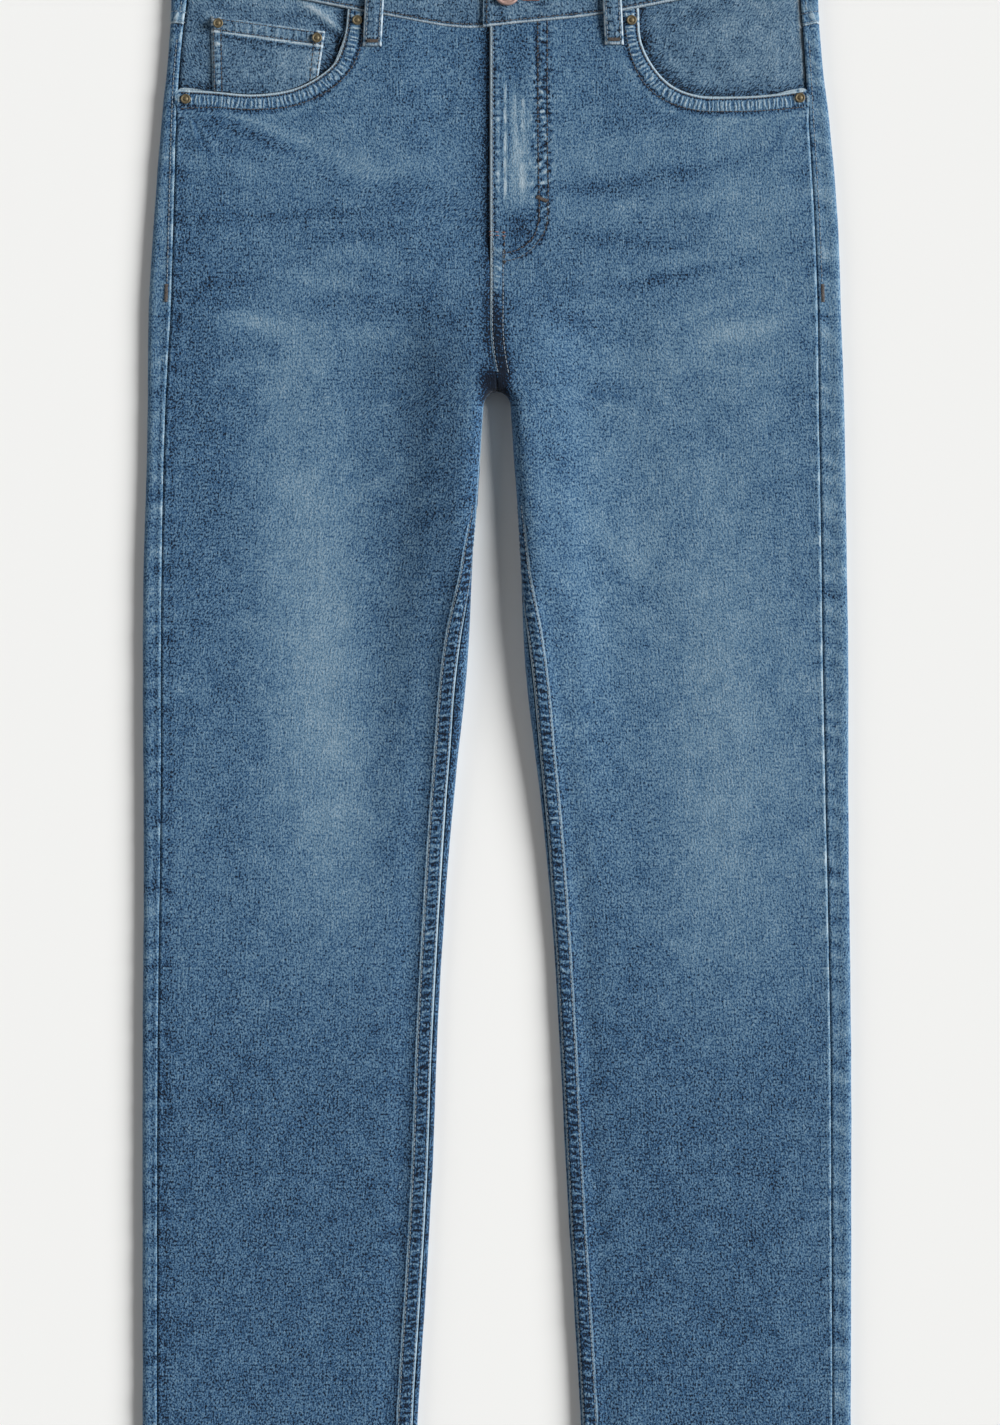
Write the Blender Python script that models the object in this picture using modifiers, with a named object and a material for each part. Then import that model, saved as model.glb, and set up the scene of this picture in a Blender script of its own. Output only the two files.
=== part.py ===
"""Washed denim jeans with a slim straight leg, laid flat on their back with the front up.

The mesh is in metres and the tables are in millimetres. +X is the wearer's left, +Y runs up to the
waist and +Z is up from the surface that they lie on. Each leg is a flattened tube: the front panel is
its upper side, and the back panel is its under side and wraps round both folds to meet the front panel
at the seams.
"""

import math

import bpy
import numpy as np

MM = 0.001
RIGHT, LEFT = -1, 1  # the wearer's right is at -X
SIDE_NAMES = {RIGHT: "right", LEFT: "left"}

# Cloth
WALL = 1.6  # one layer of denim
BAND_WALL = 2.0  # waistband, folded double
HEM_WALL = 2.3
PATCH_WALL = 1.2  # pockets, facings and belt loops
GAP = 0.3  # clearance between pieces
FOLD_GAP = 1.3 * GAP  # half the clearance at a seam that lies on a fold
NEAR = 0.1  # closer than this is the same place
FOLD = 3.2  # outer radius of the fold at the edge of a leg
TOP = 2 * FOLD  # height of the upper side
UNDER_LIFT = PATCH_WALL + GAP  # how far the back pockets and loops hold the seat off the surface
HIP_RISE = 0.8  # the hips are this much fuller than the legs
HIPS_FROM = (235.0, 300.0)  # heights between which the hips fill out
THIGH_RISE = 7.0  # the inner folds stand this much higher just below the crotch
THIGH_FROM = (0.0, 190.0)  # heights between which they rise
THIGH_TO = (262.0, 330.0)  # heights between which the cloth above the crotch comes down again
THIGH_ACROSS = (7.0, 70.0)  # distances from the inner edge between which it comes down
FOLD_CLEAR = (4.0, 22.0)  # creases fade out between these distances from a fold
BAND_HEIGHT = 40.0
HEM_HEIGHT = 13.0
HEM_Y = -566.7
CROTCH_Y = 244.7
FELL_START, FELL_WIDTH = 0.35, 10.6  # felled inseam, from the seam line to its second row
FELL_RISE = 0.5
FELL_FROM = (200.0, 130.0)  # heights between which the felled seam comes up

# Fly: the wearer's left side lies over the right
FLY_EDGE_X = -4.7
FLY_UNDER_X = 5.0
FLY_END_Y = 350.0
FLY_SPREAD = (30.0, 66.0)  # the overlap eases out between these distances from the centre
FLY_EASE = (26.0, 1.0)  # heights above its end, counted down, over which the overlap starts
FLY_TURN = (12.0, 1.0)  # and over which the edges at the middle go over to the centre seam
CENTRE_TURN = (248.0, 280.0)  # heights between which the centre seam moves out from the middle
FLY_UP, FLY_DOWN = 0.7, 1.3
LAP_END_X, UNDERLAP_END_X = -9.3, 32.0
LAP_UP, LAP_DOWN = 0.9, 1.4

# Height, outer fold, outseam and inner fold, each as its distance from the centre line.
OUTLINE = {
    RIGHT: (
        (570.0, 215.3, 205.0, 9.0), (520.0, 216.7, 205.0, 9.0), (480.0, 218.0, 209.7, 9.0),
        (433.3, 222.7, 212.8, 9.0), (366.7, 228.0, 214.7, 9.0), (300.0, 232.0, 216.8, 9.0),
        (233.3, 232.7, 220.4, 9.0), (200.0, 233.3, 221.4, 11.3), (133.3, 235.3, 222.8, 16.0),
        (66.7, 236.0, 223.3, 19.3), (0.0, 235.7, 223.3, 26.0), (-66.7, 235.3, 223.8, 32.3),
        (-166.7, 236.0, 225.3, 38.7), (-300.0, 236.2, 225.8, 44.0), (-433.3, 236.0, 226.0, 52.3),
        (-570.0, 235.7, 226.0, 57.3),
    ),
    LEFT: (
        (570.0, 212.7, 201.3, 9.0), (520.0, 213.7, 201.3, 9.0), (480.0, 215.3, 204.2, 9.0),
        (433.3, 220.7, 206.8, 9.0), (366.7, 226.7, 210.9, 9.0), (300.0, 229.3, 213.4, 9.0),
        (233.3, 231.3, 214.3, 9.0), (200.0, 232.0, 214.9, 11.3), (133.3, 233.0, 216.0, 15.7),
        (66.7, 234.0, 216.9, 18.3), (0.0, 234.0, 218.2, 25.7), (-66.7, 234.3, 219.6, 33.3),
        (-166.7, 235.7, 221.7, 40.3), (-300.0, 236.0, 222.6, 47.3), (-433.3, 235.7, 223.3, 55.3),
        (-570.0, 235.3, 223.3, 60.0),
    ),
}
OUTER, OUTSEAM, INNER = 1, 2, 3

# The round end of the gap between the legs: distance from the centre line, height.
FORK = ((0.0, 244.7), (3.6, 244.0), (6.6, 241.6), (8.5, 237.9), (9.0, 233.3))

# Where the inseam lies on the inner fold: height, way up round the fold on the right leg and on the left.
INSEAM = (
    (-570.0, 5.2, 2.2), (60.0, 5.2, 2.2), (105.0, 3.5, 0.6), (135.0, 0.6, -1.4),
    (165.0, -3.0, -3.0), (200.0, -3.5, -3.5), (229.0, 0.0, 0.0), (245.0, 0.0, 0.0),
)

# Lower edge of the waistband at the front: distance across, height.
WAIST_SEAM = (
    (-217.0, 518.7), (-171.0, 512.7), (-133.0, 506.7), (-116.7, 503.3), (-74.7, 495.3), (-6.7, 487.6),
    (0.0, 488.4), (69.3, 496.0), (93.3, 500.2), (127.3, 506.7), (175.3, 514.0), (217.0, 519.4),
)
BACK_WAIST_RISE = 7.0  # the back of the waistband lies this much higher at its middle

# Pocket mouths from the waistband to the outseam: edge across and up, second row of stitches across and up.
MOUTH = {
    RIGHT: (
        (99.3, 499.7, 89.3, 486.0), (101.3, 482.7, 90.6, 474.7), (108.7, 463.3, 99.3, 456.7),
        (118.7, 454.7, 115.3, 443.3), (134.7, 446.7, 134.7, 435.3), (160.7, 442.7, 160.7, 432.7),
        (189.3, 444.7, 189.3, 434.0), (212.0, 446.0, 212.0, 433.3),
    ),
    LEFT: (
        (94.2, 500.0, 85.3, 486.0), (96.2, 477.3, 88.7, 470.0), (105.0, 460.0, 95.3, 453.7),
        (116.3, 448.7, 108.0, 440.7), (130.7, 442.7, 126.7, 433.3), (158.3, 441.3, 158.3, 431.3),
        (182.7, 442.7, 182.7, 432.3), (205.6, 446.0, 205.6, 434.3),
    ),
}
FACING_TOP = (93.0, 96.5, 100.5, 106.0, 130.0, 160.0, 192.0, 204.0)  # its columns at the waistband, across
FACING_SINK = (1.0, 30.0)  # the facing drops under the mouth's edge over these distances from it

# Upper edge of the coin pocket at its outer and inner ends: distance across, height.
COIN_OUTER, COIN_INNER = (191.3, 495.3), (113.6, 484.0)
COIN_COLUMNS = slice(3, 7)
COIN_ROWS = slice(2, 6)

# Rows of a front panel that end on its pocket mouth: height at the fly.
FRONT_MOUTH_ROWS = (487.3, 474.0, 460.0, 445.0, 429.0, 412.0, 393.0, 371.0)
# Rows of a front panel below its pocket mouth: height at the centre seam, height at the outseam.
FRONT_HIP_ROWS = (
    (350.0, 423.0), (326.0, 398.0), (304.0, 372.0), (284.0, 345.0), (267.0, 317.0), (252.0, 290.0),
)
# Rows of a back panel: height at the centre seam, height at the outseam.
BACK_HIP_ROWS = (
    (430.0, 464.0), (395.0, 430.0), (355.0, 392.0), (315.0, 352.0), (285.0, 322.0), (267.0, 302.0),
    (252.0, 284.0),
)
# Rows that turn round the crotch: start and end across and up, height at the outseam.
CROTCH_ROWS = (
    (0.15, 246.9, 12.4, 250.6, 268.0), (0.15, 245.7, 12.6, 248.6, 254.0),
    (0.15, 244.73, 13.2, 246.4, 242.0), (3.6, 244.0, 14.9, 243.2, 232.0),
    (6.6, 241.6, 17.4, 239.4, 223.0), (8.5, 237.9, 19.6, 235.4, 214.0),
)
LEG_END = HEM_Y + HEM_HEIGHT + GAP
# Rows down a leg: height at the inner fold, height at the outseam.
LEG_ROWS = (
    (228.0, 205.0), (208.0, 192.0), (190.0, 177.0), (172.0, 162.0), (155.0, 147.0), (138.0, 132.0),
    (121.0, 117.0), (104.0, 102.0), (84.0, 84.0), (58.0, 58.0), (12.0, 12.0),
    (-45.0, -45.0), (-115.0, -115.0), (-195.0, -195.0), (-275.0, -275.0), (-355.0, -355.0), (-430.0, -430.0),
    (-500.0, -500.0), (LEG_END, LEG_END),
)
# Columns of a panel: distances from its inner edge, then parts of the way on to its outer edge.
FRONT_EDGE_STEPS = (0.0, FELL_START, 1.7, 3.1, 4.6, 6.0, FELL_WIDTH, 12.4)
BACK_EDGE_STEPS = (0.0, 0.35, 1.5, 2.7, 3.9, 5.0, 6.2)
FRONT_ACROSS = (0.1, 0.22, 0.36, 0.5, 0.64, 0.78, 0.9, 1.0)
BACK_ACROSS = (0.14, 0.3, 0.46, 0.63, 0.81, 0.91)
FOLD_TURNS = (-90, -60, -30, 0, 30, 60, 90)  # degrees round a fold, from under to over

# Soft creases on the front: across, up, half length, half width, angle in degrees, height.
CREASES = (
    (-150, 385, 75, 13, 8, 0.45), (-165, 340, 62, 12, 14, -0.4), (-95, 300, 60, 14, 24, 0.4),
    (-170, 285, 45, 13, 4, 0.35), (140, 375, 70, 13, -10, 0.45), (160, 325, 60, 13, -16, -0.4),
    (95, 290, 55, 14, -26, 0.4), (-150, 60, 30, 120, 0, 0.4), (150, 20, 32, 130, 0, 0.4),
    (110, 130, 60, 12, -38, 0.35), (-75, 150, 45, 12, 35, 0.3),
)

# Corners of a back pocket: distance across, height.
BACK_POCKET = ((38.0, 418.0), (178.0, 424.0), (172.0, 292.0), (108.0, 276.0), (44.0, 290.0))
YOKE_SIDE_X, YOKE_SIDE_Y, YOKE_CENTRE_Y = 212.0, 490.0, 441.0

LOOP_WIDTH = 12.5
LOOP_BOW = 1.1
# Name, distance across at its lower and upper ends, lower and upper heights.
FRONT_LOOPS = (("front_right", -83.0, -80.0, 474.5, 532.5), ("front_left", 78.0, 75.2, 475.5, 532.5))
BACK_LOOPS = (("back_right", -142.0), ("centre_back", 0.0), ("back_left", 142.0))
LOOP_BELOW = 13.0

# Turned profiles, from the middle of the top down the outside: distance from the axis, height.
BUTTON_AT = (6.7, 510.0)
BUTTON = (
    (0, 2.5), (2.6, 2.6), (3.4, 2.2), (4.2, 2.7), (6.4, 2.9), (7.7, 2.5), (8.5, 1.6), (8.1, 0.8), (4.5, 0.3),
    (0, 0),
)
RIVET = ((0, 1.4), (1.1, 1.4), (1.5, 1.0), (2.4, 1.1), (3.2, 0.7), (3.5, 0.2), (3.3, 0), (0, 0))
# Name, distance across and up.
FRONT_RIVETS = (
    ("mouth_right_inner", -92.9, 492.0), ("mouth_right_outer", -207.0, 439.6),
    ("mouth_left_inner", 89.5, 492.0), ("mouth_left_outer", 201.5, 440.4),
)
# Name, column of the coin pocket's upper edge, distance across and down from there.
COIN_RIVETS = (("coin_outer", -1, 5.0, 5.4), ("coin_inner", 0, -5.4, 4.6))

COLOURS = {
    "denim": (0.100, 0.185, 0.285), "denim_light": (0.130, 0.220, 0.310), "metal": (0.50, 0.36, 0.27),
    "brass": (0.30, 0.22, 0.13),
}


def ease(low, high, value):
    t = np.clip((value - low) / (high - low), 0, 1)
    return t * t * (3 - 2 * t)


def along(rows, at, column):
    """Smooth curve through one column of a table whose first column is the place."""
    rows = np.array(sorted(rows), float)
    place, value = rows[:, 0], rows[:, column]
    slope = np.gradient(value, place)
    at = np.clip(at, place[0], place[-1])
    i = np.clip(np.searchsorted(place, at) - 1, 0, len(place) - 2)
    step = place[i + 1] - place[i]
    t = (at - place[i]) / step
    return (
        (2 * t**3 - 3 * t**2 + 1) * value[i] + (t**3 - 2 * t**2 + t) * step * slope[i]
        + (3 * t**2 - 2 * t**3) * value[i + 1] + (t**3 - t**2) * step * slope[i + 1]
    )


def outline(side, y, column):
    return side * along(OUTLINE[side], y, column)


def fold_radius(y):
    """Radius of a leg's inner fold, which stands high just below the crotch."""
    return FOLD + THIGH_RISE / 2 * ease(*THIGH_FROM, y)


def quarter(radius):
    """Way round a fold from its outermost line to the flat."""
    return radius * math.pi / 2


def seam_x(y):
    """Where the centre seam lies at the front below the fly."""
    return FLY_EDGE_X * ease(*CENTRE_TURN, y)


def inseam(side, y):
    """Way round the inner fold to the inseam."""
    places, right, left = np.array(INSEAM).T
    return float(np.interp(y, places, right if side == RIGHT else left))


def seam_gap(side, y):
    """Half the gap at the inseam, wider where it lies on the fold: the walls close up inside."""
    on_top = inseam(side, y) > quarter(fold_radius(y)) - NEAR
    return GAP / 2 if on_top else FOLD_GAP


def yoke_seam(x):
    return YOKE_CENTRE_Y + (YOKE_SIDE_Y - YOKE_CENTRE_Y) * min(abs(x) / YOKE_SIDE_X, 1)


def waist_seam(x):
    return along(WAIST_SEAM, x, 1)


def back_waist_seam(x):
    return waist_seam(math.copysign(217.0, x)) + BACK_WAIST_RISE * (1 - (x / 217.0) ** 2)


def inner_path(side):
    """The inner edge of one leg seen from above, from the middle of the crotch down to the hem."""
    xs, ys = np.array(FORK).T
    low = np.arange(FORK[-1][1] - 4, HEM_Y - 8, -6.0)
    xs = np.concatenate([side * xs, [outline(side, y, INNER) for y in low]])
    return np.stack([xs, np.concatenate([ys, low])], axis=1)


INNER_PATHS = {side: inner_path(side) for side in (RIGHT, LEFT)}


def inside_edge(side, x, y):
    """Distance from a point to the inner edge of its leg, seen from above."""
    a, b = INNER_PATHS[side][:-1], INNER_PATHS[side][1:]
    t = np.clip(((np.array((x, y)) - a) * (b - a)).sum(1) / ((b - a) ** 2).sum(1), 0, 1)
    return float(np.linalg.norm(a + t[:, None] * (b - a) - (x, y), axis=1).min())


def crease(x, y):
    total = 0.0
    for cx, cy, length, width, angle, height in CREASES:
        turn = math.radians(angle)
        p = ((x - cx) * math.cos(turn) + (y - cy) * math.sin(turn)) / length
        q = ((y - cy) * math.cos(turn) - (x - cx) * math.sin(turn)) / width
        total += height * math.exp(-(p * p + q * q))
    return total


def top(x, y):
    """Height of the upper side away from the folds."""
    side = LEFT if x > 0 else RIGHT
    from_inner = abs(x) - abs(outline(side, y, INNER))
    clear = ease(*FOLD_CLEAR, abs(outline(side, y, OUTER)) - abs(x))
    if y < CROTCH_Y:
        clear *= ease(*FOLD_CLEAR, from_inner)
    thigh = ease(*THIGH_FROM, y) * (1 - ease(*THIGH_TO, y)) * (1 - ease(*THIGH_ACROSS, from_inner))
    return TOP + THIGH_RISE * thigh + clear * (HIP_RISE * ease(*HIPS_FROM, y) + crease(x, y))


def under(x, y):
    """Height of the under side away from the folds: pockets and loops hold the seat up."""
    return UNDER_LIFT * ease(250, 266, y) * (1 - ease(184, 200, abs(x)))


def overlap(x, y, up, down, side):
    """How far the fly moves the upper side, up on the wearer's left and down on the right."""
    amount = 1 - ease(*FLY_SPREAD, abs(x))
    amount *= ease(FLY_END_Y - FLY_EASE[0], FLY_END_Y - FLY_EASE[1], y)
    return amount * (up if side == LEFT else -down)


def turned(way, radius=FOLD):
    """Distance in from the edge of a fold and height, at a way round it."""
    angle = min(abs(way) / radius, math.pi / 2)
    inward = radius * (1 - math.cos(angle)) + max(abs(way) - quarter(radius), 0)
    return inward, radius + math.copysign(radius * math.sin(angle), way)


def on_outer_fold(side, y, way):
    inward, z = turned(way)
    x = outline(side, y, OUTER) - side * inward
    return x, y, top(x, y) if way > quarter(FOLD) else z


def on_inner_fold(side, y, way):
    radius = fold_radius(y)
    inward, z = turned(way, radius)
    x = outline(side, y, INNER) + side * inward
    return x, y, top(x, y) if way > quarter(radius) else z


def at_crotch(side, x, y, facing):
    """A point near the crotch, on the upper side or the under side, from its distance to the edge."""
    radius = fold_radius(y)
    near = 1 - min(inside_edge(side, side * x, y) / radius, 1)
    return side * x, y, radius + facing * radius * math.sqrt(1 - near * near)


def crotch_part(x, y, step):
    """How far along its row a point near the crotch lies: bunched up where the row starts on the fold."""
    whole, radius = FRONT_EDGE_STEPS[-1], fold_radius(y)
    return step / whole if x < GAP else turned(GAP + step, radius)[0] / turned(GAP + whole, radius)[0]


def collection(name):
    made = bpy.data.collections.new(name)
    bpy.context.scene.collection.children.link(made)
    return made


def finish(thing, name, colour, smooth=False):
    thing.name = name
    material = bpy.data.materials.new(name)
    material.use_nodes = True
    shader = material.node_tree.nodes["Principled BSDF"]
    shader.inputs["Base Color"].default_value = (*COLOURS[colour], 1)
    metal = colour in ("metal", "brass")
    shader.inputs["Metallic"].default_value = 1.0 if metal else 0.0
    shader.inputs["Roughness"].default_value = 0.35 if metal else 0.9
    thing.data.materials.append(material)
    if smooth:
        thing.data.shade_smooth()
    JEANS.objects.link(thing)


def sheet(name, rows, wall, colour="denim", probe=(0, 0), up=True, ring=False):
    """A wall of cloth under the outer points in rows; the face at probe tells which way is out."""
    count = len(rows[0])
    points = [tuple(MM * float(v) for v in p) for row in rows for p in row]
    last = count if ring else count - 1
    faces = [
        (r * count + c, r * count + (c + 1) % count, (r + 1) * count + (c + 1) % count, (r + 1) * count + c)
        for r in range(len(rows) - 1) for c in range(last)
    ]
    a, b, c, d = (np.array(points[i]) for i in faces[probe[0] * last + probe[1]])
    if (np.cross(c - a, d - b)[2] > 0) != up:
        faces = [face[::-1] for face in faces]
    mesh = bpy.data.meshes.new(name)
    mesh.from_pydata(points, [], faces)
    thing = bpy.data.objects.new(name, mesh)
    solid = thing.modifiers.new("wall", "SOLIDIFY")
    solid.thickness, solid.offset, solid.use_even_offset = wall * MM, -1, True
    finish(thing, name, colour)


def turned_piece(name, profile, x, y, z, colour, steps):
    mesh = bpy.data.meshes.new(name)
    points = [(MM * r, 0, MM * h) for r, h in profile]
    mesh.from_pydata(points, [(i, i + 1) for i in range(len(points) - 1)], [])
    thing = bpy.data.objects.new(name, mesh)
    thing.location = (MM * x, MM * y, MM * z)
    spin = thing.modifiers.new("turn", "SCREW")
    spin.steps = spin.render_steps = steps
    spin.use_merge_vertices, spin.merge_threshold = True, 1e-5
    spin.use_smooth_shade = True
    finish(thing, name, colour, smooth=True)


def front_panel(side):
    rows = []

    def centre_x(y):
        """The panel's edge at the middle: the fly above, and the centre seam below it."""
        edge = FLY_EDGE_X if side == LEFT else FLY_UNDER_X
        below = ease(FLY_END_Y + FLY_TURN[0], FLY_END_Y + FLY_TURN[1], y)
        return edge + (seam_x(y) + side * GAP / 2 - edge) * below

    def lifted(x, y):
        return x, y, top(x, y) + overlap(x, y, FLY_UP, FLY_DOWN, side)

    def row_from(start, end_x, end_y, under_waist=False):
        x, y = start[-1][:2]
        spread = [(x + f * (end_x - x), y + f * (end_y - y)) for f in FRONT_ACROSS]
        if under_waist:
            spread = [(px, waist_seam(px) - GAP) for px, _ in spread]
        rows.append(start + [lifted(px, py) for px, py in spread])

    for middle, (edge_x, edge_y, _, _) in zip(FRONT_MOUTH_ROWS, MOUTH[side]):
        first = not rows
        edge_x = min(edge_x, abs(outline(side, edge_y, OUTSEAM)) - GAP / 2)
        x = centre_x(middle)
        places = [(x + side * step, middle) for step in FRONT_EDGE_STEPS]
        if first:
            places = [(px, waist_seam(px) - GAP) for px, _ in places]
        row_from([lifted(px, py) for px, py in places], side * edge_x, edge_y, under_waist=first)
    for middle, outer in FRONT_HIP_ROWS:
        x = centre_x(middle)
        start = [lifted(x + side * step, middle) for step in FRONT_EDGE_STEPS]
        row_from(start, outline(side, outer, OUTSEAM) - side * GAP / 2, outer)
    for x, y, end_x, end_y, outer in CROTCH_ROWS:
        start = []
        for step in FRONT_EDGE_STEPS:
            f = crotch_part(x, y, step)
            start.append(at_crotch(side, x + f * (end_x - x), y + f * (end_y - y), 1))
        row_from(start, outline(side, outer, OUTSEAM) - side * GAP / 2, outer)
    for inner, outer in LEG_ROWS:
        seam = inseam(side, inner) + seam_gap(side, inner)
        start = []
        for step in FRONT_EDGE_STEPS:
            x, y, z = on_inner_fold(side, inner, seam + step)
            if FELL_START < step <= FELL_WIDTH and seam + step > quarter(fold_radius(inner)):
                z += FELL_RISE * ease(*FELL_FROM, inner)
            start.append((x, y, z))
        row_from(start, outline(side, outer, OUTSEAM) - side * GAP / 2, outer)
    sheet(f"front_{SIDE_NAMES[side]}", rows, WALL, probe=(5, 12))


def outer_wrap(side, y):
    """Points round the outer fold from the under side up to the outseam."""
    places = [on_outer_fold(side, y, FOLD * math.radians(turn)) for turn in FOLD_TURNS]
    seam_at = abs(outline(side, y, OUTER)) - abs(outline(side, y, OUTSEAM)) - GAP / 2
    end = quarter(FOLD) + seam_at - FOLD
    for way in ((quarter(FOLD) + end) / 2, end):
        places.append(on_outer_fold(side, y, way))
    return places


def back_row(side, start, outer_y):
    """The under side from the inner points across to the outer fold and round it."""
    wrap = outer_wrap(side, outer_y)
    (x, y), (end_x, end_y) = start[-1][:2], wrap[0][:2]
    across = [(x + f * (end_x - x), y + f * (end_y - y)) for f in BACK_ACROSS]
    return start + [(px, py, under(px, py)) for px, py in across] + wrap


def back_panel(side):
    rows = []
    places = [side * (GAP / 2 + step) for step in BACK_EDGE_STEPS]
    for middle, outer in ((YOKE_CENTRE_Y, YOKE_SIDE_Y), *BACK_HIP_ROWS):
        rows.append(back_row(side, [(x, middle, under(x, middle)) for x in places], outer))
    rows[0] = [(x, yoke_seam(x) - GAP / 2, z) for x, y, z in rows[0]]
    for x, y, end_x, end_y, outer in CROTCH_ROWS:
        start = []
        for step in BACK_EDGE_STEPS:
            f = crotch_part(x, y, step)
            start.append(at_crotch(side, x + f * (end_x - x), y + f * (end_y - y), -1))
        rows.append(back_row(side, start, outer))
    for inner, outer in LEG_ROWS:
        seam = inseam(side, inner) - seam_gap(side, inner)
        stretch = (seam + BACK_EDGE_STEPS[-1]) / BACK_EDGE_STEPS[-1]
        steps = [step * (stretch if step > FELL_START else 1) for step in BACK_EDGE_STEPS]
        start = [on_inner_fold(side, inner, seam - step) for step in steps]
        rows.append(back_row(side, start, outer))
    sheet(f"back_{SIDE_NAMES[side]}", rows, WALL, probe=(5, 9), up=False)


def yoke(side):
    rows = []
    for part in (0.0, 0.35, 0.7, 1.0):
        def height(x, wrapped):
            high = (waist_seam(x) if wrapped else back_waist_seam(x)) - 1.5 * GAP
            return high + part * (yoke_seam(x) + GAP / 2 - high)

        edge = abs(outline(side, YOKE_SIDE_Y, OUTER)) - FOLD
        start = [side * (GAP / 2 + f * (edge - GAP / 2)) for f in (0.0, 0.07, *BACK_ACROSS)]
        row = [(x, height(x, False), under(x, height(x, False))) for x in start]
        wrap_y = height(side * edge, True)
        rows.append(row + [(x, height(x, True), z) for x, y, z in outer_wrap(side, wrap_y)])
    sheet(f"yoke_{SIDE_NAMES[side]}", rows, WALL, probe=(1, 3), up=False)


def waistband():
    """One strip from the underlap, round the back, to the end that lies over it at the fly."""
    columns = []

    def strip(x, side):
        return [(x, y, top(x, y) + overlap(x, y, LAP_UP, LAP_DOWN, side)) for y in heights(waist_seam(x))]

    def heights(seam):
        return [seam + part * BAND_HEIGHT for part in (0.0, 0.5, 1.0)]

    for x in (UNDERLAP_END_X, 18, 4, -9, -22, -36, -50, -66, -90, -120, -150, -180, -203):
        columns.append(strip(x, RIGHT))
    for side in (RIGHT, LEFT):
        turns = FOLD_TURNS[::-1] if side == RIGHT else FOLD_TURNS
        for turn in turns:
            seam = waist_seam(side * 217.0)
            columns.append([on_outer_fold(side, y, FOLD * math.radians(turn)) for y in heights(seam)])
        if side == RIGHT:
            for x in np.linspace(-203, 203, 29):
                columns.append([(x, y, under(x, y)) for y in heights(back_waist_seam(x))])
    for x in (200, 175, 145, 115, 88, 66, 50, 36, 24, 12, 1, LAP_END_X):
        columns.append(strip(x, LEFT))
    sheet("waistband", [list(row) for row in zip(*columns)], BAND_WALL, "denim_light")


def mouth_distance(side, x, y):
    """Distance into the pocket from the mouth's edge; less than nothing under the front panel."""
    edge = np.array([row[:2] for row in MOUTH[side]])
    a, b = edge[:-1], edge[1:]
    point = np.array((abs(x), y))
    t = np.clip(((point - a) * (b - a)).sum(1) / ((b - a) ** 2).sum(1), 0, 1)
    near = a + t[:, None] * (b - a)
    far = np.linalg.norm(near - point, axis=1)
    i = int(far.argmin())
    across = b[i] - a[i]
    inside = across[0] * (point - near[i])[1] - across[1] * (point - near[i])[0] > 0
    return far[i] if inside else -far[i]


def pocket_facing(side):
    """The cloth seen inside a pocket mouth, and the rows and columns that the coin pocket is made from."""
    columns = []
    sink = WALL + GAP + 0.15
    for n, (high_x, (edge_x, edge_y, low_x, low_y)) in enumerate(zip(FACING_TOP, MOUTH[side])):
        outer = abs(outline(side, 470, OUTSEAM)) - GAP / 2
        if n == len(FACING_TOP) - 1:
            high_x = abs(outline(side, 517, OUTSEAM)) - GAP / 2
            edge_x = low_x = abs(outline(side, edge_y, OUTSEAM)) - GAP / 2
        high = (side * high_x, waist_seam(side * high_x) - GAP)
        f = (edge_x - COIN_INNER[0]) / (COIN_OUTER[0] - COIN_INNER[0])
        slant_y = COIN_INNER[1] + f * (COIN_OUTER[1] - COIN_INNER[1])
        coin_x = min(edge_x + 0.35 * (high_x - edge_x), outer)
        coin = (side * coin_x, max(slant_y, edge_y + 6))
        edge = (side * edge_x, edge_y + 0.6)
        low = (side * (edge_x + 0.85 * (low_x - edge_x)), edge_y + 0.85 * (low_y - edge_y))
        if n == 0:
            coin, edge = (tuple(np.array(high) + f * (np.array(low) - np.array(high))) for f in (0.35, 0.8))
        half = ((high[0] + coin[0]) / 2, (high[1] + coin[1]) / 2)
        steps = [tuple(np.array(coin) + f * (np.array(edge) - np.array(coin))) for f in (0.34, 0.68)]
        column = []
        for x, y in (high, half, coin, *steps, edge, low):
            if n == len(FACING_TOP) - 1:
                x = outline(side, y, OUTSEAM) - side * 1.5 * GAP
            down = sink * (1 - ease(*FACING_SINK, mouth_distance(side, x, y)))
            column.append((x, y, top(x, y) - down))
        columns.append(column)
    rows = [list(row) for row in zip(*columns)]
    sheet(f"pocket_facing_{SIDE_NAMES[side]}", rows, PATCH_WALL, "denim_light", probe=(0, 2))
    return rows


def coin_pocket(facing):
    """Lies on the facing: the same points, moved up."""
    rows = [row[COIN_COLUMNS] for row in facing[COIN_ROWS]]
    rise = GAP + PATCH_WALL
    rows = [[(x, y, z + rise) for x, y, z in row] for row in rows]
    sheet("coin_pocket", rows, PATCH_WALL, "denim_light", probe=(0, 2))
    return rows


def back_pocket(side):
    """A flat patch under the seat."""
    name = f"back_pocket_{SIDE_NAMES[side]}"
    curve = bpy.data.curves.new(name, "CURVE")
    curve.dimensions, curve.fill_mode, curve.extrude = "2D", "BOTH", MM * PATCH_WALL / 2
    line = curve.splines.new("POLY")
    line.points.add(len(BACK_POCKET) - 1)
    for point, (x, y) in zip(line.points, BACK_POCKET):
        point.co = (MM * side * x, MM * y, 0, 1)
    line.use_cyclic_u = True
    thing = bpy.data.objects.new(name, curve)
    thing.location.z = MM * PATCH_WALL / 2
    finish(thing, name, "denim")


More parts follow.
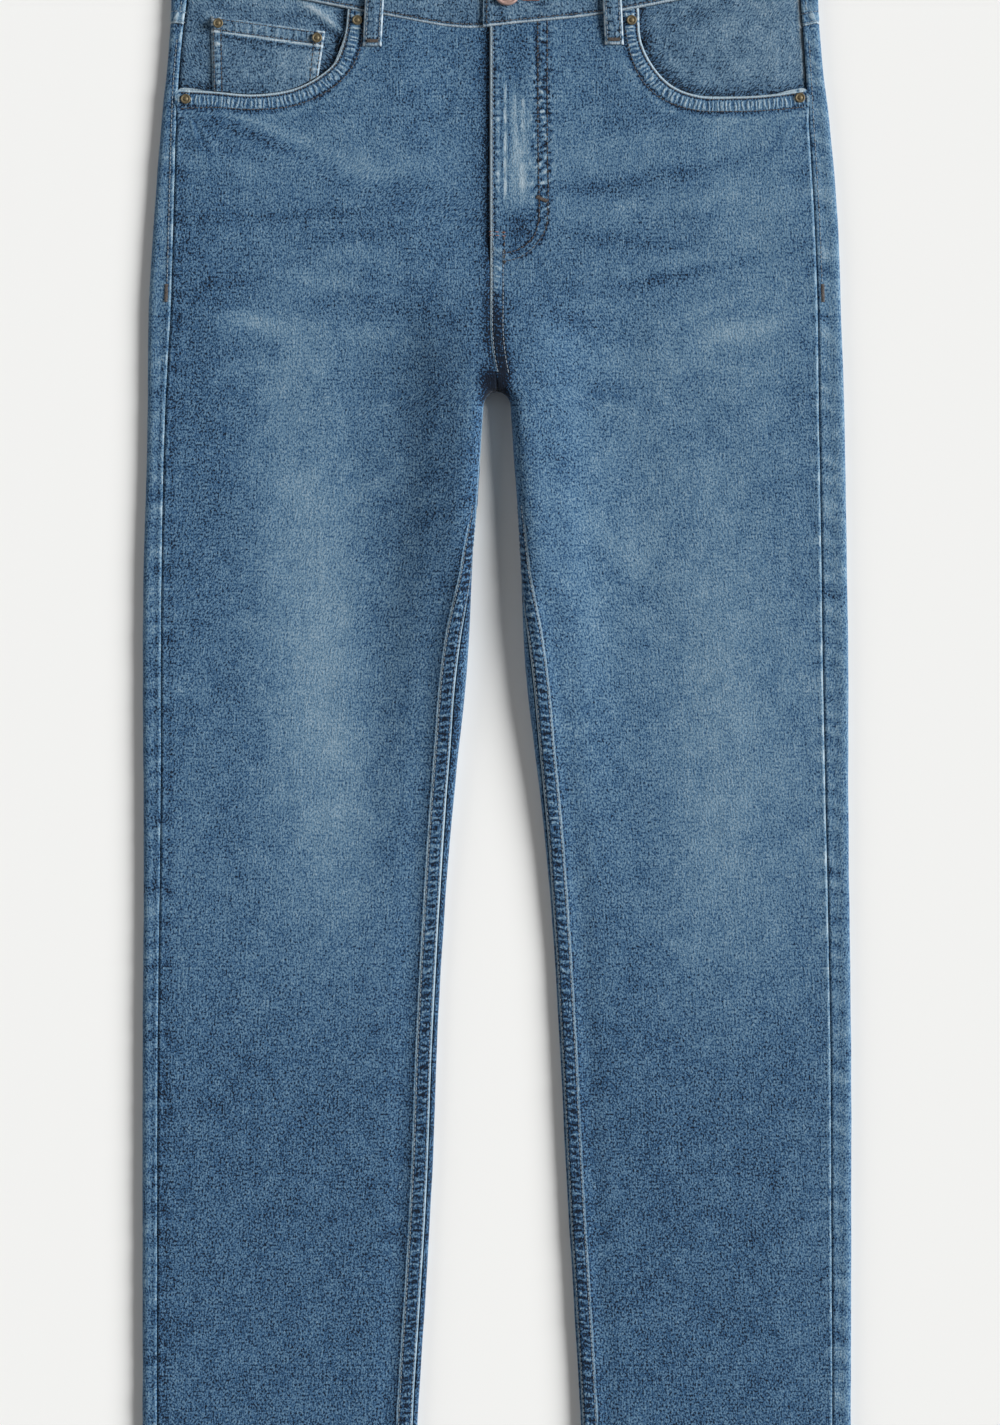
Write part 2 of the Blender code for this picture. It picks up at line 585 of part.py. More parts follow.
def front_loop(name, low_x, high_x, low_y, high_y):
    """A strap sewn down at both ends and a little bowed between them."""
    rows = []
    for part in (0.0, 0.12, 0.3, 0.5, 0.7, 0.88, 1.0):
        x, y = low_x + part * (high_x - low_x), low_y + part * (high_y - low_y)
        bow = LOOP_BOW * ease(0, 0.3, min(part, 1 - part))
        side = LEFT if x > 0 else RIGHT
        base = max(
            top(px, y) + max(overlap(px, y, LAP_UP, 0, side), 0) for px in (x - LOOP_WIDTH / 2, x + LOOP_WIDTH / 2)
        )
        z = base + 2 * GAP + PATCH_WALL + bow
        rows.append([(x - LOOP_WIDTH / 2, y, z), (x, y, z), (x + LOOP_WIDTH / 2, y, z)])
    sheet(f"belt_loop_{name}", rows, PATCH_WALL)


def back_loop(name, x):
    """A strap flat between the waistband and the surface."""
    low, high = back_waist_seam(x) - LOOP_BELOW, back_waist_seam(x) + BAND_HEIGHT - 1
    ys = np.linspace(low, high, 4)
    rows = [[(x + across * LOOP_WIDTH / 2, y, 0.0) for across in (-1, 1)] for y in ys]
    sheet(f"belt_loop_{name}", rows, PATCH_WALL, up=False)


def hem(side):
    """The turned-up end of a leg, all round it."""
    rows = []
    for y in (HEM_Y + HEM_HEIGHT, HEM_Y + HEM_HEIGHT / 2, HEM_Y):
        low, high = abs(outline(side, y, INNER)) + FOLD, abs(outline(side, y, OUTER)) - FOLD
        xs = [side * x for x in np.linspace(low, high, 9)[1:-1]]
        row = [(x, y, top(x, y)) for x in xs]
        row += [on_outer_fold(side, y, FOLD * math.radians(turn)) for turn in FOLD_TURNS[::-1]]
        row += [(x, y, 0.0) for x in xs[::-1]]
        row += [on_inner_fold(side, y, FOLD * math.radians(turn)) for turn in FOLD_TURNS]
        rows.append(row)
    sheet(f"hem_{SIDE_NAMES[side]}", rows, HEM_WALL, ring=True, probe=(0, 1))


for old in list(bpy.data.objects):
    bpy.data.objects.remove(old, do_unlink=True)
JEANS = collection("jeans")

for leg in (RIGHT, LEFT):
    back_panel(leg)
    yoke(leg)
    back_pocket(leg)
    front_panel(leg)
    hem(leg)
waistband()
for loop in FRONT_LOOPS:
    front_loop(*loop)
for loop in BACK_LOOPS:
    back_loop(*loop)
facing_rows = pocket_facing(RIGHT)
pocket_facing(LEFT)
coin_rows = coin_pocket(facing_rows)
bx, by = BUTTON_AT
turned_piece("button", BUTTON, bx, by, top(bx, by) + overlap(bx, by, LAP_UP, 0, LEFT) + 2 * GAP, "metal", 24)
for rivet, x, y in FRONT_RIVETS:
    turned_piece(f"rivet_{rivet}", RIVET, x, y, top(x, y) + 1.5 * GAP, "brass", 14)
for rivet, column, across, down in COIN_RIVETS:
    x, y, z = coin_rows[0][column]
    turned_piece(f"rivet_{rivet}", RIVET, x + across, y - down, z + 2.5 * GAP, "brass", 14)
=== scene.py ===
"""Washed denim jeans with a slim straight leg, laid flat on their back with the front up.

Sizes are in millimetres and the meshes in metres. +X is the wearer's left, +Y runs up to the waist, and +Z
is up from the surface that they lie on. "Dye" is how far the indigo has worn off: 0 is deep blue and 1 is
faded. In places the same value also holds painted shade and painted highlights.
"""

import collections
import math

import bpy
import numpy as np
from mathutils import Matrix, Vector
from mathutils.bvhtree import BVHTree


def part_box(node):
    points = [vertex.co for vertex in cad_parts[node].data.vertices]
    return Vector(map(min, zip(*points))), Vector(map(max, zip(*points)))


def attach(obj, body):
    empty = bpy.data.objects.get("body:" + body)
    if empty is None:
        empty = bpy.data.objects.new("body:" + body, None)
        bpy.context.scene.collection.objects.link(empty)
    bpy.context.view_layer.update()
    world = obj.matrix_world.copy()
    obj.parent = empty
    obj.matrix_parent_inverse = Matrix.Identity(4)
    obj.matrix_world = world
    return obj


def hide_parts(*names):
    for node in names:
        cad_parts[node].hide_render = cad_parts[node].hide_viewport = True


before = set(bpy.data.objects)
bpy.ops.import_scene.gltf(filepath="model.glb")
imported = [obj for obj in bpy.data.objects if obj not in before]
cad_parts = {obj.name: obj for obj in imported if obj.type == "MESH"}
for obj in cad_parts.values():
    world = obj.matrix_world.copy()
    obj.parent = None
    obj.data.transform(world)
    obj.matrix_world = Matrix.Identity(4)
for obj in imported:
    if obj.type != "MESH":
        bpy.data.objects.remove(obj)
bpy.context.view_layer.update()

# Front panels: the upper side of each leg, one layer of washed stretch denim cut from the waistband to the
# hem. Each is felled over the back panel at the inseam and pressed open at the outseam. At the middle the
# wearer's left panel lies over the right one at the fly, and is felled over it down to the crotch.
MM = 0.001
RIGHT, LEFT = -1, 1
SIDE_NAMES = {RIGHT: "right", LEFT: "left"}
WALL, GAP = 1.6, 0.3
FOLD = 3.2
TOP = 2 * FOLD
QUARTER_TURN = math.pi / 2
BAND_HEIGHT, HEM_HEIGHT, HEM_Y = 40.0, 13.0, -566.7
CROTCH_Y = 244.7
FLAT_FROM = (4.0, 22.0)
HIP_RISE, HIP_FROM = 0.8, (235.0, 300.0)
THIGH_RISE, THIGH_FROM, THIGH_TO, THIGH_ACROSS = 9.5, (-140.0, 165.0), (262.0, 330.0), (7.0, 70.0)
UNDER_LIFT, SEAT_FROM, SEAT_ACROSS = 1.5, (250.0, 266.0), (184.0, 200.0)
FLY_EDGE_X, FLY_UNDER_X, FLY_END_Y = -4.7, 5.0, 350.0
FLY_UP, FLY_DOWN, FLY_SPREAD = 0.7, 1.3, (30.0, 66.0)

# Height, outer fold, outseam and inner fold, each as its distance from the centre line.
OUTLINE = {
    RIGHT: (
        (570.0, 215.3, 205.0, 9.0), (520.0, 216.7, 205.0, 9.0), (480.0, 218.0, 209.7, 9.0),
        (433.3, 222.7, 212.8, 9.0), (366.7, 228.0, 214.7, 9.0), (300.0, 232.0, 216.8, 9.0),
        (233.3, 232.7, 220.4, 9.0), (200.0, 233.3, 221.4, 11.3), (133.3, 235.3, 222.8, 16.0),
        (66.7, 236.0, 223.3, 19.3), (0.0, 235.7, 223.3, 26.0), (-66.7, 235.3, 223.8, 32.3),
        (-166.7, 236.0, 225.3, 38.7), (-300.0, 236.2, 225.8, 44.0), (-433.3, 236.0, 226.0, 52.3),
        (-570.0, 235.7, 226.0, 57.3),
    ),
    LEFT: (
        (570.0, 212.7, 201.3, 9.0), (520.0, 213.7, 201.3, 9.0), (480.0, 215.3, 204.2, 9.0),
        (433.3, 220.7, 206.8, 9.0), (366.7, 226.7, 210.9, 9.0), (300.0, 229.3, 213.4, 9.0),
        (233.3, 231.3, 214.3, 9.0), (200.0, 232.0, 214.9, 11.3), (133.3, 233.0, 216.0, 15.7),
        (66.7, 234.0, 216.9, 18.3), (0.0, 234.0, 218.2, 25.7), (-66.7, 234.3, 219.6, 33.3),
        (-166.7, 235.7, 221.7, 40.3), (-300.0, 236.0, 222.6, 47.3), (-433.3, 235.7, 223.3, 55.3),
        (-570.0, 235.3, 223.3, 60.0),
    ),
}
OUTER, OUTSEAM, INNER = 1, 2, 3

# The round end of the gap between the legs, then the way down the legs: distance from the centre, height.
FORK = ((0.0, 244.7), (3.6, 244.0), (6.6, 241.6), (8.5, 237.9), (9.0, 233.3))
DOWN_LEG = np.arange(FORK[-1][1] - 4, HEM_Y - 8, -6.0)

# Where the inseam lies on the inner fold: height, way round the fold on the right leg and on the left.
INSEAM = (
    (-570.0, 5.2, 2.2), (60.0, 5.2, 2.2), (105.0, 3.5, 0.6), (135.0, 0.6, -1.4),
    (165.0, -3.0, -3.0), (200.0, -3.5, -3.5), (229.0, 0.0, 0.0), (245.0, 0.0, 0.0),
)
INSEAM_CLIMB = (60.0, 130.0)

# Lower edge of the waistband at the front: distance across, height.
WAIST_SEAM = (
    (-217.0, 518.7), (-171.0, 512.7), (-133.0, 506.7), (-116.7, 503.3), (-74.7, 495.3), (-6.7, 487.6),
    (0.0, 488.4), (69.3, 496.0), (93.3, 500.2), (127.3, 506.7), (175.3, 514.0), (217.0, 519.4),
)

# Pocket mouths from the waistband to the outseam: the edge across and up, the lower stitches across and up.
MOUTH = {
    RIGHT: (
        (99.3, 499.7, 89.3, 486.0), (101.3, 482.7, 90.6, 474.7), (108.7, 463.3, 99.3, 456.7),
        (118.7, 454.7, 115.3, 443.3), (134.7, 446.7, 134.7, 435.3), (160.7, 442.7, 160.7, 432.7),
        (189.3, 444.7, 189.3, 434.0), (212.0, 446.0, 212.0, 433.3),
    ),
    LEFT: (
        (94.2, 500.0, 85.3, 486.0), (96.2, 477.3, 88.7, 470.0), (105.0, 460.0, 95.3, 453.7),
        (116.3, 448.7, 108.0, 440.7), (130.7, 442.7, 126.7, 433.3), (158.3, 441.3, 158.3, 431.3),
        (182.7, 442.7, 182.7, 432.3), (205.6, 446.0, 205.6, 434.3),
    ),
}
MOUTH_EDGE, MOUTH_LOW = 0, 2

# Rows of the panel: heights at the middle and at the outer edge, and at the crotch both ends of its start.
FRONT_MOUTH_ROWS = (487.3, 474.0, 460.0, 445.0, 429.0, 412.0, 393.0, 371.0)
FRONT_HIP_ROWS = (
    (350.0, 423.0), (326.0, 398.0), (304.0, 372.0), (284.0, 345.0), (267.0, 317.0), (252.0, 290.0),
)
CROTCH_ROWS = (
    (0.15, 246.9, 12.4, 250.6, 268.0), (0.15, 245.7, 12.6, 248.6, 254.0), (0.15, 244.73, 13.2, 246.4, 242.0),
    (3.6, 244.0, 14.9, 243.2, 232.0), (6.6, 241.6, 17.4, 239.4, 223.0), (8.5, 237.9, 19.6, 235.4, 214.0),
)
HEM_TOP = HEM_Y + HEM_HEIGHT + GAP
LEG_ROWS = (
    (228.0, 205.0), (208.0, 192.0), (190.0, 177.0), (172.0, 162.0), (155.0, 147.0), (138.0, 132.0),
    (121.0, 117.0), (104.0, 102.0),
    *((y, y) for y in (84.0, 58.0, 12.0, -45.0, -115.0, -195.0, -275.0, -355.0, -430.0, -500.0, HEM_TOP)),
)
FELL_WIDTH, FELL_RISE, FELL_RAMP = 10.6, 0.5, (200.0, 130.0)
EDGE_STEPS = (0.0, 0.35, 1.7, 3.1, 4.6, 6.0, FELL_WIDTH, 12.4)
ACROSS = (0.1, 0.22, 0.36, 0.5, 0.64, 0.78, 0.9, 1.0)
ROW_STEP, MOUTH_ROW_STEP = 2.1, 0.8
POINT_STEP, EDGE_POINT_STEPS, OUTSEAM_POINT_STEP = 3.4, (0.34, *[0.62] * 6), 1.0

# Soft creases: across, up, half length, half width, angle in degrees, height.
CREASES = (
    (-150, 385, 75, 13, 8, 0.45), (-165, 340, 62, 12, 14, -0.4), (-95, 300, 60, 14, 24, 0.4),
    (-170, 285, 45, 13, 4, 0.35), (140, 375, 70, 13, -10, 0.45), (160, 325, 60, 13, -16, -0.4),
    (95, 290, 55, 14, -26, 0.4), (-150, 60, 30, 120, 0, 0.4), (150, 20, 32, 130, 0, 0.4),
    (110, 130, 60, 12, -38, 0.35), (-75, 150, 45, 12, 35, 0.3),
)


def ease(low, high, value):
    t = np.clip((value - low) / (high - low), 0, 1)
    return t * t * (3 - 2 * t)


def hump(d, width):
    return np.exp(-((d / width) ** 2))


def eased_curve(t, span, start, end, slope, end_slope):
    """The smooth curve between two points with their slopes, where t goes from 0 to 1."""
    return (
        (2 * t**3 - 3 * t**2 + 1) * start + (t**3 - 2 * t**2 + t) * span * slope
        + (3 * t**2 - 2 * t**3) * end + (t**3 - t**2) * span * end_slope
    )


def along(rows, at, column):
    """Smooth curve through one column of a table whose first column is the place."""
    rows = np.array(sorted(rows), float)
    place, value = rows[:, 0], rows[:, column]
    slope = np.gradient(value, place)
    at = np.clip(at, place[0], place[-1])
    i = np.clip(np.searchsorted(place, at) - 1, 0, len(place) - 2)
    span = place[i + 1] - place[i]
    return eased_curve((at - place[i]) / span, span, value[i], value[i + 1], slope[i], slope[i + 1])


def patches(x, y, table, sharp=1.0):
    """Soft oval patches: across, up, half size along and across its angle, angle in degrees, amount."""
    total = 0.0
    for patch_x, patch_y, length, width, angle, amount in table:
        turn = math.radians(angle)
        p = ((x - patch_x) * math.cos(turn) + (y - patch_y) * math.sin(turn)) / length
        q = ((y - patch_y) * math.cos(turn) - (x - patch_x) * math.sin(turn)) / width
        total = total + amount * np.exp(-((p * p + q * q) ** sharp))
    return total


def outline(side, y, column):
    return side * along(OUTLINE[side], y, column)


def waist_seam(x):
    return along(WAIST_SEAM, x, 1)


def fold_radius(y):
    """Radius of a leg's inner fold, which stands high just below the crotch."""
    return FOLD + THIGH_RISE / 2 * ease(*THIGH_FROM, y)


def inseam(side, y):
    """How far round the inner fold the inseam lies, up from the fold's edge."""
    places, right, left = np.array(INSEAM).T
    higher = (fold_radius(y) - FOLD) * QUARTER_TURN * (1 - ease(*INSEAM_CLIMB, y))
    return float(np.interp(y, places, right if side == RIGHT else left) + higher)


def seam_gap(side, y):
    """Room to each side of the inseam, wider where it lies on the fold's round part."""
    return GAP / 2 if inseam(side, y) > fold_radius(y) * QUARTER_TURN - 0.1 else 1.3 * GAP


def inner_path(side):
    xs, ys = np.array(FORK).T
    xs = np.concatenate([side * xs, [outline(side, y, INNER) for y in DOWN_LEG]])
    return np.stack([xs, np.concatenate([ys, DOWN_LEG])], axis=1)


INNER_PATHS = {side: inner_path(side) for side in (RIGHT, LEFT)}


def inside_edge(side, x, y):
    """How far a point lies from a leg's inner edge."""
    a, b = INNER_PATHS[side][:-1], INNER_PATHS[side][1:]
    t = np.clip(((np.array((x, y)) - a) * (b - a)).sum(1) / ((b - a) ** 2).sum(1), 0, 1)
    return float(np.linalg.norm(a + t[:, None] * (b - a) - (x, y), axis=1).min())


def top(x, y):
    """Height of the upper side away from the folds."""
    side = LEFT if x > 0 else RIGHT
    inner = abs(outline(side, y, INNER))
    clear = ease(*FLAT_FROM, abs(outline(side, y, OUTER)) - abs(x))
    if y < CROTCH_Y:
        clear *= ease(*FLAT_FROM, abs(x) - inner)
    thigh = ease(*THIGH_FROM, y) * (1 - ease(*THIGH_TO, y)) * (1 - ease(*THIGH_ACROSS, abs(x) - inner))
    return TOP + THIGH_RISE * thigh + clear * (HIP_RISE * ease(*HIP_FROM, y) + patches(x, y, CREASES))


def under(x, y):
    """Height of the under side, which lifts off the surface at the seat."""
    return UNDER_LIFT * ease(*SEAT_FROM, y) * (1 - ease(*SEAT_ACROSS, abs(x)))


def overlap(x, y, up, down, side):
    """How far the left side rises and the right side sinks where they lie over each other at the fly."""
    amount = (1 - ease(*FLY_SPREAD, abs(x))) * ease(FLY_END_Y - 26, FLY_END_Y - 1, y)
    return amount * (up if side == LEFT else -down)


def turned(way, radius=FOLD):
    """Distance in from the edge of a fold and height, at a way round it."""
    angle = min(abs(way) / radius, QUARTER_TURN)
    inward = radius * (1 - math.cos(angle)) + max(abs(way) - radius * QUARTER_TURN, 0)
    return inward, radius + math.copysign(radius * math.sin(angle), way)


def on_fold(side, y, way, column, radius=FOLD):
    """A point of the outer or the inner fold, at a way round it."""
    inward, z = turned(way, radius)
    x = outline(side, y, column) + side * inward * (1 if column == INNER else -1)
    return x, y, top(x, y) if way > radius * QUARTER_TURN else z


def at_crotch(side, x, y, facing):
    radius = fold_radius(y)
    near = 1 - min(inside_edge(side, side * x, y) / radius, 1)
    return side * x, y, radius + facing * radius * math.sqrt(1 - near * near)


def crotch_start(side, steps, x, y, end_x, end_y, facing):
    """The first points of a row that starts at the gap's round end."""
    whole, radius, start = EDGE_STEPS[-1], fold_radius(y), []
    for step in steps:
        part = step / whole
        if x >= GAP:
            part = turned(GAP + step, radius)[0] / turned(GAP + whole, radius)[0]
        start.append(at_crotch(side, x + part * (end_x - x), y + part * (end_y - y), facing))
    return start


def finer(grid, axis, step, first=(), last=()):
    """More points between the rows or columns of a grid, on smooth curves through the given ones.

    The first and the last spans may have steps of their own.
    """
    grid = np.moveaxis(np.asarray(grid, float), axis, 0)
    lengths = np.linalg.norm(np.diff(grid, axis=0), axis=2)
    place = np.concatenate([[0], np.cumsum(np.maximum(lengths.mean(axis=1), 1e-6))])
    slope = np.gradient(grid, place, axis=0)
    steps = np.full(len(lengths), float(step))
    steps[: len(first)] = first
    steps[len(steps) - len(last) :] = last
    made = []
    for i, count in enumerate(np.maximum(1, np.round(lengths.max(axis=1) / steps)).astype(int)):
        t = (np.arange(count) / count)[:, None, None]
        made.append(eased_curve(t, place[i + 1] - place[i], grid[i], grid[i + 1], slope[i], slope[i + 1]))
    made.append(grid[-1:])
    return np.moveaxis(np.concatenate(made), 0, axis)


def ways(grid):
    """How far each point lies along its row, from the row's start."""
    steps = np.linalg.norm(np.diff(grid, axis=1), axis=2)
    return np.concatenate([np.zeros((len(grid), 1)), np.cumsum(steps, axis=1)], axis=1)


def smooth_path(points, step=4.0):
    return finer(np.array(points, float)[:, None, :], 0, step)[:, 0]


def mouth_path(side, column, step=4.0):
    return smooth_path([(side * row[column], row[column + 1]) for row in MOUTH[side]], step)


def ripple(run, pitch, seed):
    """An uneven wave from -1 to 1."""
    t = 2 * math.pi * run / pitch
    phase = t + 1.3 * np.sin(t / 3.3 + seed) + 0.9 * np.sin(t / 7.1 + 2.1 * seed)
    return np.sin(phase) * (0.7 + 0.3 * np.sin(t / 2.7 + 1.7 * seed))


def clouds(x, y, size, seed):
    """Soft uneven patches from about -1 to 1."""
    total = 0.0
    for n in range(7):
        turn, scale = 2.4 * n + seed, 2 * math.pi / (size * (0.75 + 0.13 * n))
        p = x * math.cos(turn) + y * math.sin(turn)
        q = y * math.cos(turn) - x * math.sin(turn)
        total = total + np.sin(scale * p + 1.7 * np.sin(scale * 0.43 * q + n) + 5.1 * n * seed)
    return total / 2.8


def mottle(x, y, table):
    """Layers of clouds: amount, how far they are drawn out across and up, size, seed."""
    return sum(amount * clouds(x * across, y * up, size, seed) for amount, across, up, size, seed in table)


def beside(path, x, y):
    """Signed distance from a path, positive on its left, and the run along it, for arrays of points."""
    path = np.asarray(path, float)
    a, b = path[:-1], path[1:]
    lengths = np.linalg.norm(b - a, axis=1)
    starts = np.concatenate([[0], np.cumsum(lengths)[:-1]])
    best = np.full(np.shape(x), 1e9)
    run, side = np.zeros_like(best), np.ones_like(best)
    for (ax, ay), (bx, by), length, start in zip(a, b, lengths, starts):
        dx, dy = (bx - ax) / length, (by - ay) / length
        t = np.clip((x - ax) * dx + (y - ay) * dy, 0, length)
        far = np.hypot(x - ax - t * dx, y - ay - t * dy)
        closer = far < best
        best = np.where(closer, far, best)
        run = np.where(closer, start + t, run)
        side = np.where(closer, np.sign(dx * (y - ay) - dy * (x - ax)), side)
    return best * side, run


def drawn_in(x, y, names, radius=4.3):
    """Short pleats in the cloth round each rivet."""
    total = 0.0
    for n, name in enumerate(names):
        low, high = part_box(f"rivet_{name}")
        rivet_x, rivet_y = ((low[k] + high[k]) / 2 / MM for k in (0, 1))
        away, turn = np.hypot(x - rivet_x, y - rivet_y), np.degrees(np.arctan2(y - rivet_y, x - rivet_x))
        total = total + ripple(turn + 180, 60.0, 1.0 + n) * hump(away - radius, 1.8)
    return total


class Sheet:
    """One piece of cloth as a grid of points, with the runs along its rows and columns from both ends.

    Height is how far each point is moved out, and dye how far it has faded, with painted shade and painted
    highlights laid into it. Where one mask both raises and pales the cloth, as on puckers, tucks, pleats and
    creases, the paler ridges and darker hollows are partly wear and partly painted highlight and shade. A
    seam is its strength, the distance from it and the run along it at each point, its two rows' distances and
    its puckers' pitch.
    """

    def __init__(self, grid, dye_and_painted_shade=0.0, height=0.0):
        self.grid = np.asarray(grid, float)
        self.x, self.y = self.grid[:, :, 0], self.grid[:, :, 1]
        self.reach, self.down = ways(self.grid), ways(self.grid.transpose(1, 0, 2)).T
        self.to_end, self.to_low = self.reach[:, -1:] - self.reach, self.down[-1] - self.down
        self.dye_and_painted_shade, self.height = dye_and_painted_shade + 0 * self.x, height + 0 * self.x
        self.seams = []

    def wear(self, where, dye_and_painted_shade=0.0, height=0.0):
        self.dye_and_painted_shade = self.dye_and_painted_shade + dye_and_painted_shade * where
        self.height = self.height + height * where

    def lines(self, d, table, where=1.0):
        """Fine lines beside an edge: distance from it, half width, dye, height."""
        for at, width, dye_and_painted_shade, height in table:
            self.wear(where * hump(d - at, width), dye_and_painted_shade, height)

    def folded(self, d, radius, where=1.0):
        """A folded edge drops round its radius, at a distance in from it."""
        t = 1 - np.clip(d / radius, 0, 1)
        self.wear(where, height=-0.8 * radius * (1 - np.sqrt(1 - np.minimum(t, 0.98) ** 2)))

    def sewn(self, d, run, rows, pitch, seed, where=1.0, puff=0.25, ribs=0.3, dye_and_painted_shade=0.8):
        """Puckered cloth between two rows of stitches, at distances across and along it."""
        low, high = rows
        inside = ease(low - 1.2, low + 0.6, d) * (1 - ease(high - 0.6, high + 1.4, d))
        wave = ripple(run + 0.15 * d, pitch, seed) + 0.4 * ripple(run - 0.3 * d, pitch * 0.61, seed + 2)
        middle = np.clip(1 - ((d - (low + high) / 2) / ((high - low) / 2 + 0.8)) ** 2, 0, 1)
        holes = hump(d - low, 0.7) + hump(d - high, 0.7)
        # the puckers' ridges paler and their hollows darker: partly worn ridges, partly painted highlight and
        # shade
        self.wear(where * inside * wave * (0.5 + 0.5 * middle), dye_and_painted_shade)
        self.wear(where * inside * middle, height=puff)
        self.wear(where * inside * wave * (0.35 + 0.65 * middle), height=ribs)
        self.wear(where * holes, -0.9, -0.22)
        self.wear(where * inside, 0.25)

    def row(self, distance, low=-1000.0, high=1000.0, lift=0.1, from_end=False, crosswise=False):
        """Points of the finished cloth at a distance from one side of it, between two heights."""
        outer, normal, reach, line = self.outer, self.normal, self.reach, []
        if crosswise:
            outer, normal, reach = outer.transpose(1, 0, 2), normal.transpose(1, 0, 2), self.down.T
        for points, normals, run in zip(outer, normal, reach):
            place = run[-1] - distance if from_end else distance
            point, out = ([np.interp(place, run, v[:, k]) for k in range(3)] for v in (points, normals))
            if low <= point[1] <= high:
                line.append(np.array(point) + lift * np.array(out))
        return line


# Where washing has faded the legs, then the whiskers, pale and dark streaks of the hips, as patches.
FADES = (
    (-120, 75, 36, 190, 2, 0.64), (-160, 230, 30, 150, 0, 0.06), (-205, 265, 15, 110, 0, -0.20),
    (-186, 250, 20, 190, 0, -0.20), (-40, 225, 20, 200, 5, -0.20), (-95, 405, 50, 30, 0, 0.18),
    (150, 20, 42, 195, 0, 0.56), (86, 170, 40, 140, -6, 0.32), (170, 345, 38, 130, 0, 0.34),
    (205, 20, 22, 170, 0, 0.22), (228, -50, 14, 520, 0, 0.20), (205, -330, 22, 160, 0, 0.14),
    (47, 395, 24, 42, 0, 0.24), (13, 388, 13, 30, 0, 0.35), (-100, -20, 26, 70, 0, 0.10),
)
FADE_SHARPNESS = 1.25
WHISKERS = (
    (-150, 420, 45, 4, -20, 0.30), (-160, 414, 45, 4, -22, -0.30), (-165, 395, 50, 7, -4, 0.18),
    (-120, 388, 40, 5, -14, -0.22), (-70, 395, 45, 9, 2, 0.16), (-135, 362, 60, 5, 3, -0.20),
    (-95, 350, 40, 5, 6, -0.16), (-70, 330, 45, 7, -12, 0.16), (-110, 318, 40, 5, -10, 0.20),
    (-175, 318, 30, 5, 10, -0.18), (-165, 292, 28, 8, -14, 0.34), (-185, 305, 25, 5, -8, -0.14),
    (-90, 282, 50, 8, -8, 0.14), (-60, 300, 35, 6, -14, -0.16), (-140, 262, 60, 10, 6, 0.14),
    (120, 415, 60, 6, 8, 0.16), (130, 392, 38, 4, 10, -0.26), (95, 400, 45, 7, 6, 0.14),
    (60, 380, 40, 5, 4, -0.22), (110, 370, 60, 7, 6, 0.18), (80, 345, 60, 5, -6, -0.18),
    (120, 322, 45, 4.5, 12, -0.32), (95, 330, 50, 6, 6, 0.12), (140, 300, 50, 6, 16, 0.18),
    (165, 305, 40, 5, 20, -0.12), (160, 284, 34, 8, 12, 0.30), (60, 290, 45, 7, -14, -0.18),
    (110, 265, 60, 8, -6, 0.14), (90, 240, 50, 9, -20, -0.10), (70, 150, 60, 6, -35, 0.14),
    (60, 190, 50, 6, -28, -0.12), (85, 120, 50, 5, -40, -0.12), (-70, 190, 40, 6, 30, 0.10),
    (-60, 150, 44, 6, 38, -0.10),
)
WHISKER_STRENGTH = 1.7
FRONT_MOTTLE = ((0.07, 1, 1, 46, 0.7), (0.06, 1, 0.8, 17, 2.9), (0.05, 1, 1 / 3, 6.5, 1.9))
FRONT_SWELL = ((0.10, 1, 1, 60, 1.3), (0.05, 1, 0.6, 14, 0.4))
SHIN_DYE, THIGH_DYE, KNEE = 0.08, 0.29, (-235.0, -85.0)


def worn(x, y):
    """How far the dye has faded over the upper side."""
    total = SHIN_DYE + THIGH_DYE * ease(*KNEE, y) + patches(x, y, FADES, FADE_SHARPNESS)
    total = total + WHISKER_STRENGTH * patches(x, y, WHISKERS) + mottle(x, y, FRONT_MOTTLE)
    return total + 0.05 * ripple(x, 9.0, 1.0) * (0.5 + 0.5 * np.sin(y / 60))


def node(tree, kind, inputs=None, **settings):
    """A node with its settings made, and each of its inputs linked to an output or set to a value."""
    made = tree.nodes.new(kind)
    for name, value in settings.items():
        setattr(made, name, value)
    for name, value in (inputs or {}).items():
        if isinstance(value, bpy.types.NodeSocket):
            tree.links.new(value, made.inputs[name])
        else:
            made.inputs[name].default_value = value
    return made


def material(name, values):
    """A new material with values on its shader's own sockets, its tree, and the shader's inputs."""
    made = bpy.data.materials.new(name)
    made.use_nodes = True
    inputs = made.node_tree.nodes["Principled BSDF"].inputs
    for socket, value in values.items():
        inputs[socket].default_value = value
    return made, made.node_tree, inputs


def colour_ramp(tree, value, stops):
    """A ramp of colours from its first stop to its last, each a place and a shade."""
    ramp = node(tree, "ShaderNodeValToRGB", {0: value})
    for element, (place, _) in zip(ramp.color_ramp.elements, (stops[0], stops[-1])):
        element.position = place
    for place, _ in stops[1:-1]:
        ramp.color_ramp.elements.new(place)
    for element, (_, shade) in zip(ramp.color_ramp.elements, stops):
        element.color = (*shade, 1)
    return ramp.outputs[0]


# The denim's threads: grain across, grain up, detail, angle in degrees. Then how much each shows.
THREAD_GRAIN = {
    "slub": (1.3, 14.0, 1.0, 0), "pick": (11.0, 1.3, 1.0, 0), "blotch": (11.0, 14.0, 2.0, 0),
    "twill": (0.9, 4.0, 1.0, -32),
}
GRAIN_SHOWS = {"speck": 3.4, "slub": 0.5, "pick": 0.5, "blotch": 0.5, "twill": 0.7}
GRAIN_STANDS = {"speck": 1.0, "twill": 0.7, "slub": 0.4}
DYE_RANGE = (-1.0, 2.0)
HOLE_DEPTH = -1.3


